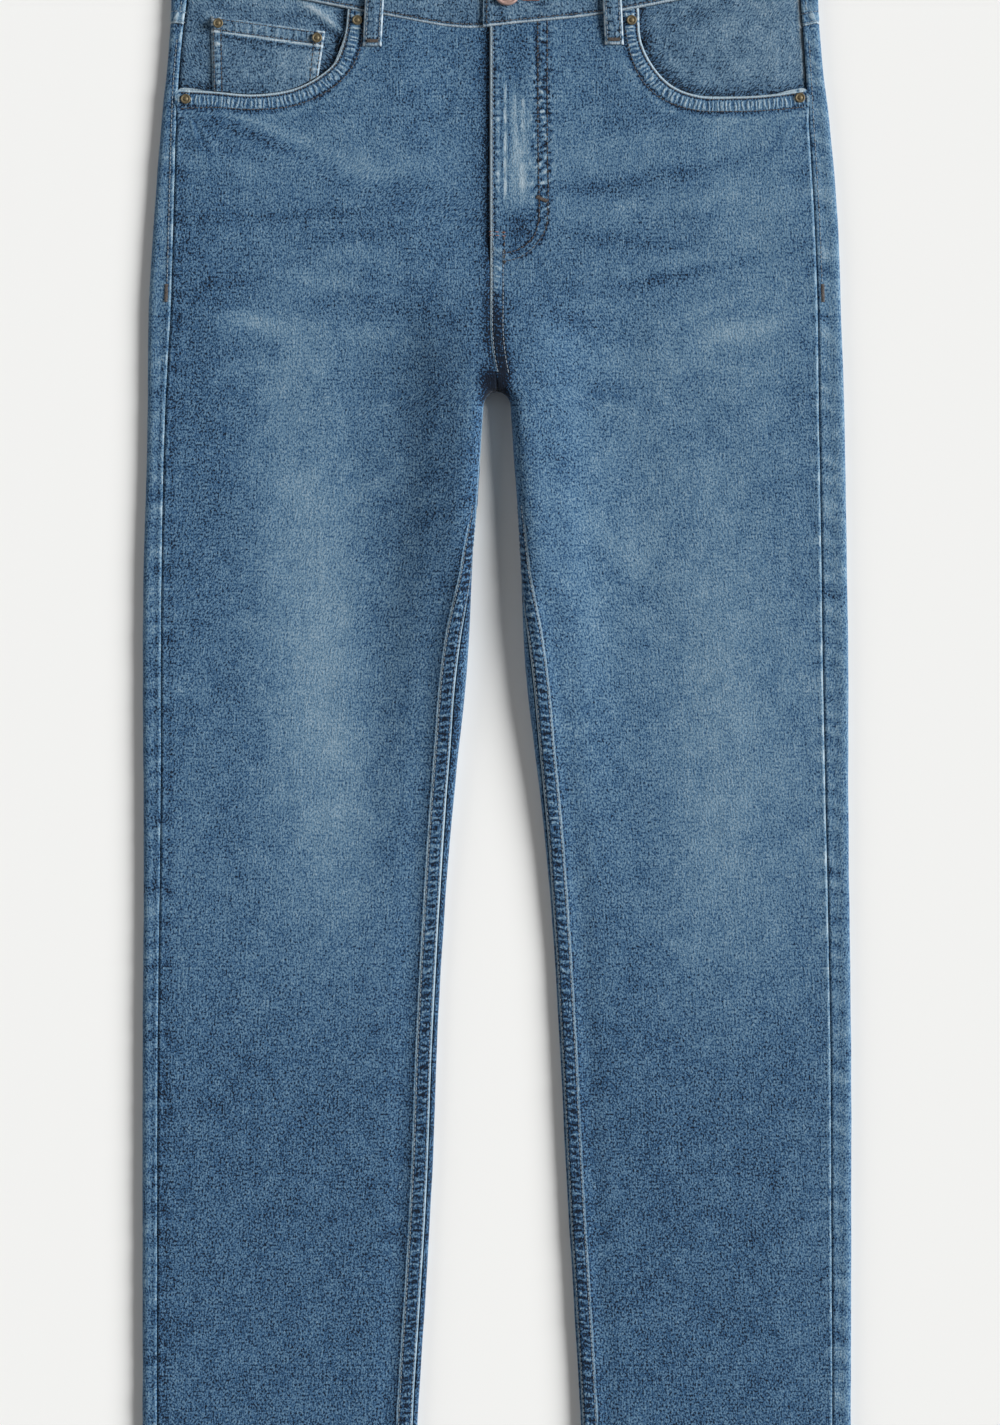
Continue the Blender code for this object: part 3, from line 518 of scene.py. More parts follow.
def denim(name, deep, dark, light, pale):
    """Washed denim: indigo warp and white weft that show as speckle, slubs up and down, and a fine diagonal.

    The dye attribute says how far it has faded, with painted shade and painted highlights laid into it. The
    deep colour, near black, is reached by needle holes, the darkest specks and the painted shade at the
    crotch. The sewn map holds the place between a seam's two rows and the run in puckers, and the puckered
    attribute the seam's strength.
    """
    made, tree, shader = material(
        name, {"Sheen Weight": 0.12, "Sheen Roughness": 0.45, "Specular IOR Level": 0.25}
    )
    cloth_map = node(tree, "ShaderNodeUVMap", uv_map="cloth").outputs[0]
    dye_and_painted_shade = node(tree, "ShaderNodeAttribute", attribute_name="dye_and_painted_shade").outputs["Fac"]

    def maths(how, *values):
        return node(tree, "ShaderNodeMath", dict(enumerate(values)), operation=how).outputs[0]

    def step(value, low, high):
        """0 below low, 1 above high, and smooth between them."""
        limits = {"Value": value, "From Min": low, "From Max": high}
        return node(tree, "ShaderNodeMapRange", limits, interpolation_type="SMOOTHSTEP").outputs[0]

    def threads(across, up, detail, angle=0):
        """Noise with about this size of grain in millimetres across and up the cloth."""
        scale, turn = (1 / (across * MM), 1 / (up * MM), 1), (0, 0, math.radians(angle))
        place = node(tree, "ShaderNodeMapping", {"Vector": cloth_map, "Scale": scale, "Rotation": turn})
        inputs = {"Vector": place.outputs[0], "Scale": 1.0, "Detail": detail, "Roughness": 0.6}
        noise = node(tree, "ShaderNodeTexNoise", inputs, noise_dimensions="2D")
        return maths("SUBTRACT", noise.outputs[0], 0.5)

    grain = maths("MINIMUM", threads(1.25, 1.45, 0.6), 0.09)
    wander = maths("ABSOLUTE", threads(2.2, 2.5, 1.0))
    dark_lines = maths("MULTIPLY", maths("SUBTRACT", step(wander, 0.0, 0.075), 0.75), 0.22)
    grains = {"speck": maths("ADD", grain, dark_lines)}
    grains.update({kind: threads(*sizes) for kind, sizes in THREAD_GRAIN.items()})
    # the paler the cloth, the less its threads differ
    strength = maths("ADD", maths("MULTIPLY", dye_and_painted_shade, -0.7), 1.35)
    colour = dye_and_painted_shade
    for kind, amount in GRAIN_SHOWS.items():
        shown = maths("MULTIPLY", maths("MULTIPLY", grains[kind], amount), strength)
        colour = maths("ADD", colour, shown)

    sewn_map = node(tree, "ShaderNodeUVMap", uv_map="sewn").outputs[0]
    puckered = node(tree, "ShaderNodeAttribute", attribute_name="puckered").outputs["Fac"]
    between, run = node(tree, "ShaderNodeSeparateXYZ", {0: sewn_map}).outputs[:2]
    uneven = node(tree, "ShaderNodeTexNoise", {"Vector": sewn_map, "Scale": 0.8}, noise_dimensions="2D")
    jitter = maths("MULTIPLY", maths("SUBTRACT", uneven.outputs[0], 0.5), 1.3)
    wave = maths("SINE", maths("MULTIPLY", maths("ADD", run, jitter), 2 * math.pi))
    inside = maths("MULTIPLY", step(between, -0.05, 0.32), maths("SUBTRACT", 1.0, step(between, 0.68, 1.05)))
    inside = maths("MULTIPLY", inside, puckered)
    # puckers between the rows: paler ridges and darker hollows in the colour, matching the bump: partly worn
    # ridges, partly painted highlight and shade
    pucker = maths("MULTIPLY", maths("SUBTRACT", maths("MULTIPLY", wave, 0.85), 0.25), inside)
    # dark needle holes along both rows
    off_row = maths("ABSOLUTE", maths("SUBTRACT", maths("ABSOLUTE", maths("SUBTRACT", between, 0.5)), 0.5))
    needle = step(maths("SINE", maths("MULTIPLY", run, 3 * math.pi)), -0.6, 0.4)
    holes = maths("MULTIPLY", maths("SUBTRACT", 1.0, step(off_row, 0.03, 0.13)), needle)
    holes = maths("MULTIPLY", holes, step(puckered, 0.0, 0.25))
    colour = maths("ADD", maths("ADD", colour, pucker), maths("MULTIPLY", holes, HOLE_DEPTH))

    faded = node(
        tree, "ShaderNodeMapRange", {"Value": colour, "From Min": DYE_RANGE[0], "From Max": DYE_RANGE[1]}
    )
    shade = colour_ramp(tree, faded.outputs[0], ((0, deep), (1 / 3, dark), (2 / 3, light), (1, pale)))
    rough = node(
        tree, "ShaderNodeMapRange",
        {"Value": grains["speck"], "From Min": -0.5, "From Max": 0.5, "To Min": 0.82, "To Max": 1.0},
    )
    height = None
    for kind, amount in GRAIN_STANDS.items():
        part = grains[kind] if amount == 1.0 else maths("MULTIPLY", grains[kind], amount)
        height = part if height is None else maths("ADD", height, part)
    height = maths("ADD", height, maths("MULTIPLY", pucker, 0.7))
    bump = node(tree, "ShaderNodeBump", {"Strength": 0.6, "Distance": 0.5 * MM, "Height": height})
    tree.links.new(shade, shader["Base Color"])
    tree.links.new(rough.outputs[0], shader["Roughness"])
    tree.links.new(bump.outputs[0], shader["Normal"])
    return made


BLUE_DENIM = denim(
    "washed blue denim",
    (0.001, 0.006, 0.017), (0.022, 0.080, 0.178), (0.125, 0.226, 0.325), (0.38, 0.48, 0.55),
)
FLOOR_GAP = 0.02
SURFACES = {}  # the finished cloth of each piece, to lay thread on
ROWS = collections.defaultdict(list)  # rows of stitches, by thread
BARS = collections.defaultdict(list)  # bars that take the strain, by thread


def in_scene(name, data):
    thing = bpy.data.objects.new(name, data)
    bpy.context.scene.collection.objects.link(thing)
    return thing


def cloth(name, sheet, colour, wall, way, ring=False, every=4):
    """A wall of cloth below a sheet's points, with a coarser inner layer and closed edges.

    Way is 1 if the cloth faces up a third of the way along its middle row, and -1 if it faces down there.
    """
    grid = sheet.grid
    rows, columns = grid.shape[:2]
    across = np.roll(grid, -1, axis=1) - np.roll(grid, 1, axis=1) if ring else np.gradient(grid, axis=1)
    normal = np.cross(across, np.gradient(grid, axis=0))
    normal /= np.maximum(np.linalg.norm(normal, axis=2, keepdims=True), 1e-9)
    flip = normal[rows // 2, columns // 3, 2] * way < 0
    if flip:
        normal = -normal
    outer = grid + normal * sheet.height[:, :, None]
    outer[:, :, 2] = np.maximum(outer[:, :, 2], FLOOR_GAP)
    sheet.outer, sheet.normal = outer, normal
    keep_rows = sorted({*range(0, rows, every), rows - 1})
    keep_columns = sorted({*range(0, columns, every), *([] if ring else [columns - 1])})
    thin = np.ix_(keep_rows, keep_columns)
    index = np.arange(rows * columns).reshape(rows, columns)
    below = rows * columns + np.arange(len(keep_rows) * len(keep_columns)).reshape(len(keep_rows), -1)

    def squares(ids):
        a, b = ids, np.roll(ids, -1, axis=1)
        count = ids.shape[1] - (0 if ring else 1)
        return np.stack([a[:-1], b[:-1], b[1:], a[1:]], axis=2)[:, :count].reshape(-1, 4)

    faces = squares(index).tolist()
    shown = len(faces)
    faces += squares(below)[:, ::-1].tolist()

    def rim(outer_line, kept, inner_line, backwards):
        for n in range(len(inner_line) - 1):
            line = outer_line[kept[n] : kept[n + 1] + 1]
            face = [*line[::-1], inner_line[n], inner_line[n + 1]]
            faces.append([int(v) for v in (face[::-1] if backwards else face)])

    for end, backwards in ((0, False), (-1, True)):
        if ring:
            closed = [*index[end], index[end][0]], [*keep_columns, columns], [*below[end], below[end][0]]
            rim(*closed, backwards)
        else:
            rim(index[end], keep_columns, below[end], backwards)
    if not ring:
        rim(index[:, 0], keep_rows, below[:, 0], True)
        rim(index[:, -1], keep_rows, below[:, -1], False)
    if flip:
        faces = [face[::-1] for face in faces]

    def both_layers(values):
        return np.concatenate([values.reshape(rows * columns, -1), values[thin].reshape(below.size, -1)])

    points = np.concatenate([outer.reshape(-1, 3), (grid - normal * wall)[thin].reshape(-1, 3)])
    mesh = bpy.data.meshes.new(name)
    mesh.from_pydata((points * MM).tolist(), [], faces)
    between, puckers, sewn = np.full((rows, columns), 9.0), 0 * sheet.x, 0 * sheet.x
    for strength, d, run, low, high, pitch in sheet.seams:
        place = (d - low) / (high - low)
        nearer = (np.abs(place - 0.5) < np.abs(between - 0.5)) & (strength > 0)
        between, puckers = np.where(nearer, place, between), np.where(nearer, run / pitch, puckers)
        sewn = np.where(nearer, strength, sewn)
    corners = np.empty(len(mesh.loops), np.int32)
    mesh.loops.foreach_get("vertex_index", corners)
    for layer, pair in (("cloth", (sheet.reach * MM, sheet.y * MM)), ("sewn", (between, puckers))):
        places = both_layers(np.stack(pair, axis=2))
        mesh.uv_layers.new(name=layer).data.foreach_set("uv", places[corners].ravel())
    for kind, values in (("dye_and_painted_shade", sheet.dye_and_painted_shade), ("puckered", sewn)):
        mesh.attributes.new(kind, "FLOAT", "POINT").data.foreach_set("value", both_layers(values).ravel())
    mesh.materials.append(colour)
    mesh.shade_smooth()
    mesh.set_sharp_from_angle(angle=math.radians(55))
    thing = in_scene(name, mesh)
    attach(thing, "root")
    SURFACES[name] = BVHTree.FromPolygons(outer.reshape(-1, 3).tolist(), faces[:shown])
    return thing


def seam_x(y):
    """How far across the centre seam lies."""
    return FLY_EDGE_X * ease(248, 280, y)


def front_rows(side):
    rows = []

    def centre_x(y):
        edge = FLY_EDGE_X if side == LEFT else FLY_UNDER_X
        return edge + (seam_x(y) + side * GAP / 2 - edge) * ease(FLY_END_Y + 12, FLY_END_Y + 1, y)

    def lifted(places):
        waist = not rows
        places = [(x, waist_seam(x) - GAP if waist else y) for x, y in places]
        return [(x, y, top(x, y) + overlap(x, y, FLY_UP, FLY_DOWN, side)) for x, y in places]

    def row_from(start, end_x, end_y):
        x, y = start[-1][:2]
        rows.append(start + lifted([(x + f * (end_x - x), y + f * (end_y - y)) for f in ACROSS]))

    def from_middle(y):
        return lifted([(centre_x(y) + side * step, y) for step in EDGE_STEPS])

    def to_outseam(start, y):
        row_from(start, outline(side, y, OUTSEAM) - side * GAP / 2, y)

    for middle, (edge_x, edge_y, _, _) in zip(FRONT_MOUTH_ROWS, MOUTH[side]):
        edge_x = min(edge_x, abs(outline(side, edge_y, OUTSEAM)) - GAP / 2)
        row_from(from_middle(middle), side * edge_x, edge_y)
    for middle, outer in FRONT_HIP_ROWS:
        to_outseam(from_middle(middle), outer)
    for *ends, outer in CROTCH_ROWS:
        to_outseam(crotch_start(side, EDGE_STEPS, *ends, 1), outer)
    for inner, outer in LEG_ROWS:
        seam, radius = inseam(side, inner) + seam_gap(side, inner), fold_radius(inner)
        start = []
        for step in EDGE_STEPS:
            x, y, z = on_fold(side, inner, seam + step, INNER, radius)
            felled = EDGE_STEPS[1] < step <= FELL_WIDTH and seam + step > radius * QUARTER_TURN
            start.append((x, y, z + (FELL_RISE * ease(*FELL_RAMP, inner) if felled else 0)))
        to_outseam(start, outer)
    return rows


# The inseam: its rows of stitches, and the puckers like rope between them. Lines: distance, half width, dye,
# height.
FELL_STITCHES, FELL_ZONE, FELL_HEIGHTS = (1.5, 9.4), (172.0, 150.0), (HEM_Y, 168.0)
FELL_LINES = ((0.4, 0.8, 1.7, 0), (10.3, 0.7, 1.5, 0), (11.7, 0.6, -0.9, 0), (5.4, 3.0, -0.5, 0))
# The right leg's inner fold, which faces the light, has painted shade over it and a thin painted highlight
# on its edge: distance, half width, dye, where it starts, ends.
INNER_FOLD_SHADE_AND_HIGHLIGHT = (
    (1.5, 6.0, -0.5, (-60.0, 40.0), (236.0, 225.0)), (0.2, 0.5, 1.2, (40.0, 90.0), (240.0, 232.0)),
)
# The felled strip of the centre seam below the fly, and the fly's folded and edge-stitched edge.
STRIP_STITCHES, STRIP_ZONE = (1.6, 8.6), (250.0, 262.0)
EDGE_ROW, EDGE_TUCKS, EDGE_WEAR_AND_HIGHLIGHT = 2.7, (4.6, 2.2), (0.7, 1.0, 2.4, 0)
STITCH_LENGTH = 3.1
# The fly's outer and inner row: across, up. Then the worn streaks down it: across, half width, amount.
FLY_ROWS = (
    (
        (27.1, 490.0), (27.2, 440.0), (27.4, 400.0), (28.0, 370.0), (27.6, 358.0), (25.0, 349.5),
        (19.0, 342.5), (11.7, 338.6), (5.2, 337.0),
    ),
    (
        (33.4, 490.5), (33.4, 440.0), (33.6, 400.0), (33.8, 368.0), (32.6, 354.0), (28.3, 346.0),
        (21.7, 338.6), (13.0, 333.5), (5.2, 331.8),
    ),
)
FLY_BETWEEN = (0.0, 6.2)
FLY_STREAKS = (
    (1.0, 1.3, 0.5), (3.4, 0.8, -0.5), (5.4, 1.2, 1.0), (7.6, 0.8, -0.4), (9.4, 0.9, 0.5), (12.4, 1.1, 0.6),
    (14.6, 0.8, -0.5), (17.0, 1.4, 0.8), (21.5, 1.3, 0.35),
)
STREAK_FOOT, STREAK_HEAD, STREAK_STRENGTH = (362.0, 384.0), (436.0, 462.0), 1.35
# Crumpled cloth beside the outer row: distance from it and half width, then how far its clouds are drawn out
# across, their size and seed, and the dye, the dye that the crumpled middle part adds, and the height.
FLY_CRUMPLES = (
    (3.0, 6.0, 0.8, 4.6, 5.0, 0.7, 0.8, 0), (3.0, 6.0, 1, 6.0, 5.0, 0, 0, 0.2),
    (-3.2, 1.6, 1, 9.0, 1.1, 0.6, 0, 0),
)
CRUMPLED_FROM, CRUMPLED_TO = (352.0, 372.0), (475.0, 440.0)
# The dark foot of the fly, and painted shade in the fork where the legs part, as patches.
FLY_FOOT, FORK_PAINTED_SHADE = ((16, 356, 8, 10, 0, -1.0),), ((0, 252, 9, 34, 0, -0.9),)
# The pocket mouth's band: its width, and its lines: distance, half width, dye, height. The third line is
# painted shade just below the band's lower row.
MOUTH_BAND, MOUTH_TURN = 10.6, 2.1
MOUTH_LINES = (
    (0.7, 0.85, 1.7, 0), (6.2, 4.5, 0.3, 0), (MOUTH_BAND + 1.6, 1.2, -0.6, 0),
    (MOUTH_BAND + 4.5, 2.0, 0.3, 0),
)
FAN_X, FAN_Y, FAN_AMOUNT = 206.0, 436.0, {RIGHT: 1.0, LEFT: 0.5}
# Along the outseam: the leg above which it stops, and how pale or dark its edge is.
OUTSEAM_TOP = (430.0, 442.0)
OUTSEAM_TUCK_PITCH, OUTSEAM_TUCK_AT, OUTSEAM_TUCK_WIDTH = 16.5, 2.5, 4.5
OUTSEAM_EDGE, OUTSEAM_SHADE = {RIGHT: -0.35, LEFT: 1.1}, {RIGHT: -0.35, LEFT: 0.0}


def centre_strip(sheet):
    """The felled strip below the fly, and the fly's edge above it."""
    y, reach = sheet.y, sheet.reach
    middle = ease(*STRIP_ZONE, y) * (1 - ease(FLY_END_Y - 14, FLY_END_Y - 4, y))
    sheet.seams.append((0.6 * middle, reach, y + 0.3 * reach, 1.8, 8.4, 4.2))
    sheet.sewn(reach, y, STRIP_STITCHES, 9.4, 4.0, where=middle, ribs=0.35, dye_and_painted_shade=0.4)
    # the strip is a little paler up near the fly, and painted shade darkens it to near black down towards the
    # crotch
    sheet.wear(middle * hump(reach - 5, 5), 0.25 * ease(300, 330, y) - 2.0 * ease(322, 282, y))
    fly = ease(FLY_END_Y - 8, FLY_END_Y, y)
    dashes = 0.5 + 0.5 * np.sin(2 * math.pi * y / STITCH_LENGTH)
    sheet.wear(fly * ripple(y, 6.6, 2.0) * hump(reach - EDGE_TUCKS[0], EDGE_TUCKS[1]), 0.7, 0.18)
    sheet.wear(fly * dashes * hump(reach - EDGE_ROW, 0.9), -2.0)
    sheet.wear(fly * hump(reach - EDGE_ROW, 0.8), 0.0, -0.2)
    # the fly's folded edge is pale: worn, and with a painted highlight on it
    sheet.lines(reach, (EDGE_WEAR_AND_HIGHLIGHT,), ease(CROTCH_Y + 4, CROTCH_Y + 12, y))


def fly(sheet):
    """The fly's two curved rows, the crumpled cloth between and beside them, and its worn streaks."""
    x, y = sheet.x, sheet.y
    d, run = beside(smooth_path(FLY_ROWS[0]), x, y)
    near = ease(330, 338, y)
    sheet.seams.append((0.3 * near, d, run, *FLY_BETWEEN, 4.4))
    sheet.sewn(d, run, FLY_BETWEEN, 8.6, 3.1, where=near, puff=0.12, ribs=0.35, dye_and_painted_shade=0.5)
    sheet.wear(near * hump(d - 3.1, 4.2), -0.35)
    crumpled = ease(*CRUMPLED_TO, y) * ease(*CRUMPLED_FROM, y)
    for at, width, across, size, seed, dye_and_painted_shade, more, height in FLY_CRUMPLES:
        uneven = clouds(x * across, y, size, seed)
        sheet.wear(near * hump(d - at, width) * uneven, dye_and_painted_shade + more * crumpled, height)
    worn_part = ease(*STREAK_FOOT, y) * (1 - ease(*STREAK_HEAD, y))
    uneven = 0.8 + 0.4 * clouds(x * 2, y, 12, 2.2)
    for at, width, amount in FLY_STREAKS:
        sheet.wear(worn_part * uneven * hump(x - at, width), STREAK_STRENGTH * amount)
    sheet.wear(worn_part * hump(x - 12, 9), 0.25)
    sheet.wear(hump(x - 14, 12) * ease(450, 470, y), -0.3)
    sheet.wear(1.0, patches(x, y, FLY_FOOT))


def pocket_mouth(sheet, side):
    """Turned in and sewn down with two rows, with ribs between them and gathers below the outer end."""
    x, y = sheet.x, sheet.y
    d, run = beside(mouth_path(side, MOUTH_EDGE), x, y)
    d = np.where(y > 420, np.abs(d), 99.0)
    sheet.seams.append((0.95 * (d < 14.0), d, run, 2.3, MOUTH_BAND - 0.2, 2.8))
    sheet.sewn(d, run, (MOUTH_TURN, MOUTH_BAND), 5.6, 6.0 + side, puff=0.35, ribs=0.2, dye_and_painted_shade=0.25)
    sheet.folded(d, 1.0)
    sheet.lines(d, MOUTH_LINES)
    ends = [f"mouth_{SIDE_NAMES[side]}_{end}" for end in ("inner", "outer")]
    sheet.wear(drawn_in(x, y, ends), 1.3, 0.2)
    fan_x, fan_y = abs(x) - FAN_X, y - FAN_Y
    spread = np.hypot(fan_x, fan_y)
    fan = ripple(np.degrees(np.arctan2(fan_y, fan_x)) + 180, 24.0, 1.4)
    fan = fan * ease(4, 9, spread) * (1 - ease(14, 46, spread)) * (fan_y < -3)
    sheet.wear(fan * FAN_AMOUNT[side], 0.4, 0.35)


def front_panel(side):
    grid = finer(front_rows(side), 0, ROW_STEP, first=[MOUTH_ROW_STEP] * (len(FRONT_MOUTH_ROWS) - 1))
    sheet = Sheet(finer(grid, 1, POINT_STEP, first=EDGE_POINT_STEPS, last=[OUTSEAM_POINT_STEP]))
    x, y, reach, to_end = sheet.x, sheet.y, sheet.reach, sheet.to_end
    sheet.wear(1.0, worn(x, y), mottle(x, y, FRONT_SWELL))
    sheet.folded(reach, 1.1)
    leg = ease(*FELL_ZONE, y)
    sheet.seams.append((0.95 * leg, reach, y + 0.15 * reach, 1.7, 9.2, 4.8))
    sheet.sewn(reach, y, FELL_STITCHES, 9.6, 1.0 + side, where=leg, ribs=0.35, dye_and_painted_shade=0.3)
    sheet.lines(reach, FELL_LINES, leg)
    if side == LEFT:
        centre_strip(sheet)
        fly(sheet)
    else:
        # painted shade over the right leg's inner fold, which faces the light, and a painted highlight on its
        # edge
        inner = np.abs(x) - np.abs(outline(side, y, INNER))
        for at, width, dye_and_painted_shade, start, end in INNER_FOLD_SHADE_AND_HIGHLIGHT:
            sheet.wear(hump(inner - at, width) * ease(*start, y) * ease(*end, y), dye_and_painted_shade)
        # painted shadow beside the fly's lapped edge, darkest in the crease that runs down beside it
        crease_and_shade = ease(CROTCH_Y + 6, CROTCH_Y + 40, y)
        sheet.lines(x - seam_x(y), ((0.0, 4.2, -1.3, 0), (-8.0, 7.0, -0.2, 0)), crease_and_shade)
    # painted shade where the legs part, and near black painted shade at the round end of the gap between them
    sheet.wear(1.0, patches(x, y, FORK_PAINTED_SHADE))
    sheet.wear(hump(((x + 1.7) / 9.5) ** 2, 1.0) * (1 - ease(253, 262, y)) * ease(234, 240, y), -2.4)

    # outseam: pressed edge, with puckers to each side of it
    seam_zone = 1 - ease(*OUTSEAM_TOP, y)
    tucks = ripple(y + 0.4 * to_end, OUTSEAM_TUCK_PITCH, 2.0 + side)
    sheet.wear(seam_zone * tucks * hump(to_end - OUTSEAM_TUCK_AT, OUTSEAM_TUCK_WIDTH), 0.3, 0.2)
    sheet.lines(to_end, ((1.6, 1.2, 0, 0.18), (5.0, 3.0, OUTSEAM_SHADE[side], 0)), seam_zone)
    sheet.folded(to_end, 1.2, seam_zone)
    sheet.wear(seam_zone * hump(to_end - 0.7, 0.7) * (0.7 + 0.5 * ripple(y, 23.0, 0.3)), OUTSEAM_EDGE[side])
    pocket_mouth(sheet, side)

    panel = cloth(f"cloth_front_{SIDE_NAMES[side]}", sheet, BLUE_DENIM, WALL, 1)
    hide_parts(f"front_{SIDE_NAMES[side]}")
    ROWS["pale"] += [sheet.row(distance, *FELL_HEIGHTS) for distance in FELL_STITCHES]
    if side == LEFT:
        ROWS["pale"] += [sheet.row(distance, 258, FLY_END_Y - 12) for distance in STRIP_STITCHES]
        ROWS["pale"].append(sheet.row(1.9, FLY_END_Y - 12, 486))


for leg in (RIGHT, LEFT):
    front_panel(leg)

# Back panels: the seat and the under side of each leg, one layer of the same denim. Each wraps round the
# outer fold to the outseam, whose allowance is edge-stitched to it down to a bar at the hip, and round the
# inner fold to the felled inseam. The two are felled together at the centre back.
BACK_HIP_ROWS = (
    (430.0, 464.0), (395.0, 430.0), (355.0, 392.0), (315.0, 352.0), (285.0, 322.0), (267.0, 302.0),
    (252.0, 284.0),
)
BACK_EDGE_STEPS = (0.0, 0.35, 1.5, 2.7, 3.9, 5.0, 6.2)
BACK_ACROSS = (0.14, 0.3, 0.46, 0.63, 0.81, 0.91)
FOLD_TURNS = (-90, -60, -30, 0, 30, 60, 90)
BACK_ROW_STEP, BACK_POINT_STEP, FELL_POINT_STEPS, WRAP_POINT_STEPS = 3.0, 4.0, [0.7] * 6, [0.8] * 7
YOKE_SIDE_X, YOKE_SIDE_Y, YOKE_CENTRE_Y = 212.0, 490.0, 441.0
BACK_DYE = 0.22
BACK_FADES = (
    (105, 330, 60, 70, 0, 0.45), (100, 60, 45, 200, 0, 0.25), (120, 235, 60, 12, 8, -0.25),
    (130, 222, 60, 8, 6, 0.3), (120, 150, 50, 9, -8, -0.15), (110, -40, 60, 12, 4, -0.2),
    (120, -55, 55, 8, 6, 0.2),
)
BACK_MOTTLE = ((0.08, 1, 1, 46, 3.7), (0.06, 1, 0.8, 17, 1.1))
BACK_SINKS, BACK_SWELL, BACK_SWELL_SIZE = -0.1, 0.1, 50
STRIP_DYE, STRIP_MOTTLE = {RIGHT: 0.42, LEFT: 0.55}, ((0.15, 0.5, 1, 26, 4.1), (0.15, 1, 1, 7, 2.3))
STRIP_PALER_UP, STRIP_PALER_FROM = 0.10, (-100, 200)
# Tucks down the strip: pitch, how far they lean, distance from the outseam, half width, dye, height.
TUCK_PITCH, TUCK_LEAN, TUCK_AT, TUCK_WIDTH, TUCK_DYE, TUCK_HEIGHT = 16.5, 0.4, 4.0, 6.0, 0.45, 0.28
FOLD_SHOWS_FROM = (1.0, 4.5)
INSEAM_SHADE, INSEAM_SHADE_FROM = {RIGHT: -0.8, LEFT: -0.3}, (150.0, 110.0)
ALLOWANCE_ROW, ALLOWANCE_HEIGHTS = 3.2, (318.0, 480.0)
HIP_BAR, HIP_BAR_HEIGHTS = 3.4, (303.0, 316.5)
SEAT_STITCHES, SEAT_PITCH, SEAT_FROM_CROTCH, SEAT_HEIGHTS = (1.6, 8.4), 7.5, (256.0, 270.0), (262.0, 436.0)
# Lines: distance, half width, dye, height.
OUTSEAM_RIDGE, ALLOWANCE_LINE = (1.8, 1.3, 0, 0.15), (ALLOWANCE_ROW, 0.8, -0.5, 0)
# Painted shadow under the yoke's edge: distance, half width, dye, height.
YOKE_EDGE_SHADOW = (0.6, 1.3, -0.9, 0)


def yoke_seam(x):
    return YOKE_CENTRE_Y + (YOKE_SIDE_Y - YOKE_CENTRE_Y) * np.minimum(np.abs(x) / YOKE_SIDE_X, 1)


def outer_wrap(side, y):
    """Points round the outer fold, from the under side to the outseam."""
    flat = FOLD * QUARTER_TURN
    end = flat + abs(outline(side, y, OUTER)) - abs(outline(side, y, OUTSEAM)) - GAP / 2 - FOLD
    places = [*(FOLD * math.radians(turn) for turn in FOLD_TURNS), (flat + end) / 2, end]
    return [on_fold(side, y, way, OUTER) for way in places]


def back_row(side, start, outer_y):
    wrap = outer_wrap(side, outer_y)
    (x, y), (end_x, end_y) = start[-1][:2], wrap[0][:2]
    across = [(x + f * (end_x - x), y + f * (end_y - y)) for f in BACK_ACROSS]
    return start + [(px, py, under(px, py)) for px, py in across] + wrap


def back_rows(side):
    rows = []
    places = [side * (GAP / 2 + step) for step in BACK_EDGE_STEPS]
    for middle, outer in ((YOKE_CENTRE_Y, YOKE_SIDE_Y), *BACK_HIP_ROWS):
        rows.append(back_row(side, [(x, middle, under(x, middle)) for x in places], outer))
    rows[0] = [(x, yoke_seam(x) - GAP / 2, z) for x, y, z in rows[0]]
    for *ends, outer in CROTCH_ROWS:
        rows.append(back_row(side, crotch_start(side, BACK_EDGE_STEPS, *ends, -1), outer))
    for inner, outer in LEG_ROWS:
        seam, radius = inseam(side, inner) - seam_gap(side, inner), fold_radius(inner)
        stretch = (seam + BACK_EDGE_STEPS[-1]) / BACK_EDGE_STEPS[-1]
        steps = [step * (stretch if step > 1 else 1) for step in BACK_EDGE_STEPS]
        start = [on_fold(side, inner, seam - step, INNER, radius) for step in steps]
        rows.append(back_row(side, start, outer))
    return rows


def wrapped(side, grid):
    """A sheet of the under side, worn alike on both legs, and round the fold beside the outseam."""
    sheet = Sheet(grid)
    x, y, to_end = sheet.x, sheet.y, sheet.to_end
    shown = ease(*FOLD_SHOWS_FROM, sheet.grid[:, :, 2])
    strip = STRIP_DYE[side] + mottle(x, y, STRIP_MOTTLE) + STRIP_PALER_UP * ease(*STRIP_PALER_FROM, y)
    sheet.wear(1 - shown, BACK_DYE + patches(np.abs(x), y, BACK_FADES) + mottle(x, y, BACK_MOTTLE))
    sheet.wear(shown, strip)
    tucks = ripple(y + TUCK_LEAN * to_end, TUCK_PITCH, 2.0 + side) * hump(to_end - TUCK_AT, TUCK_WIDTH)
    sheet.wear(shown * tucks, TUCK_DYE, TUCK_HEIGHT)
    return sheet


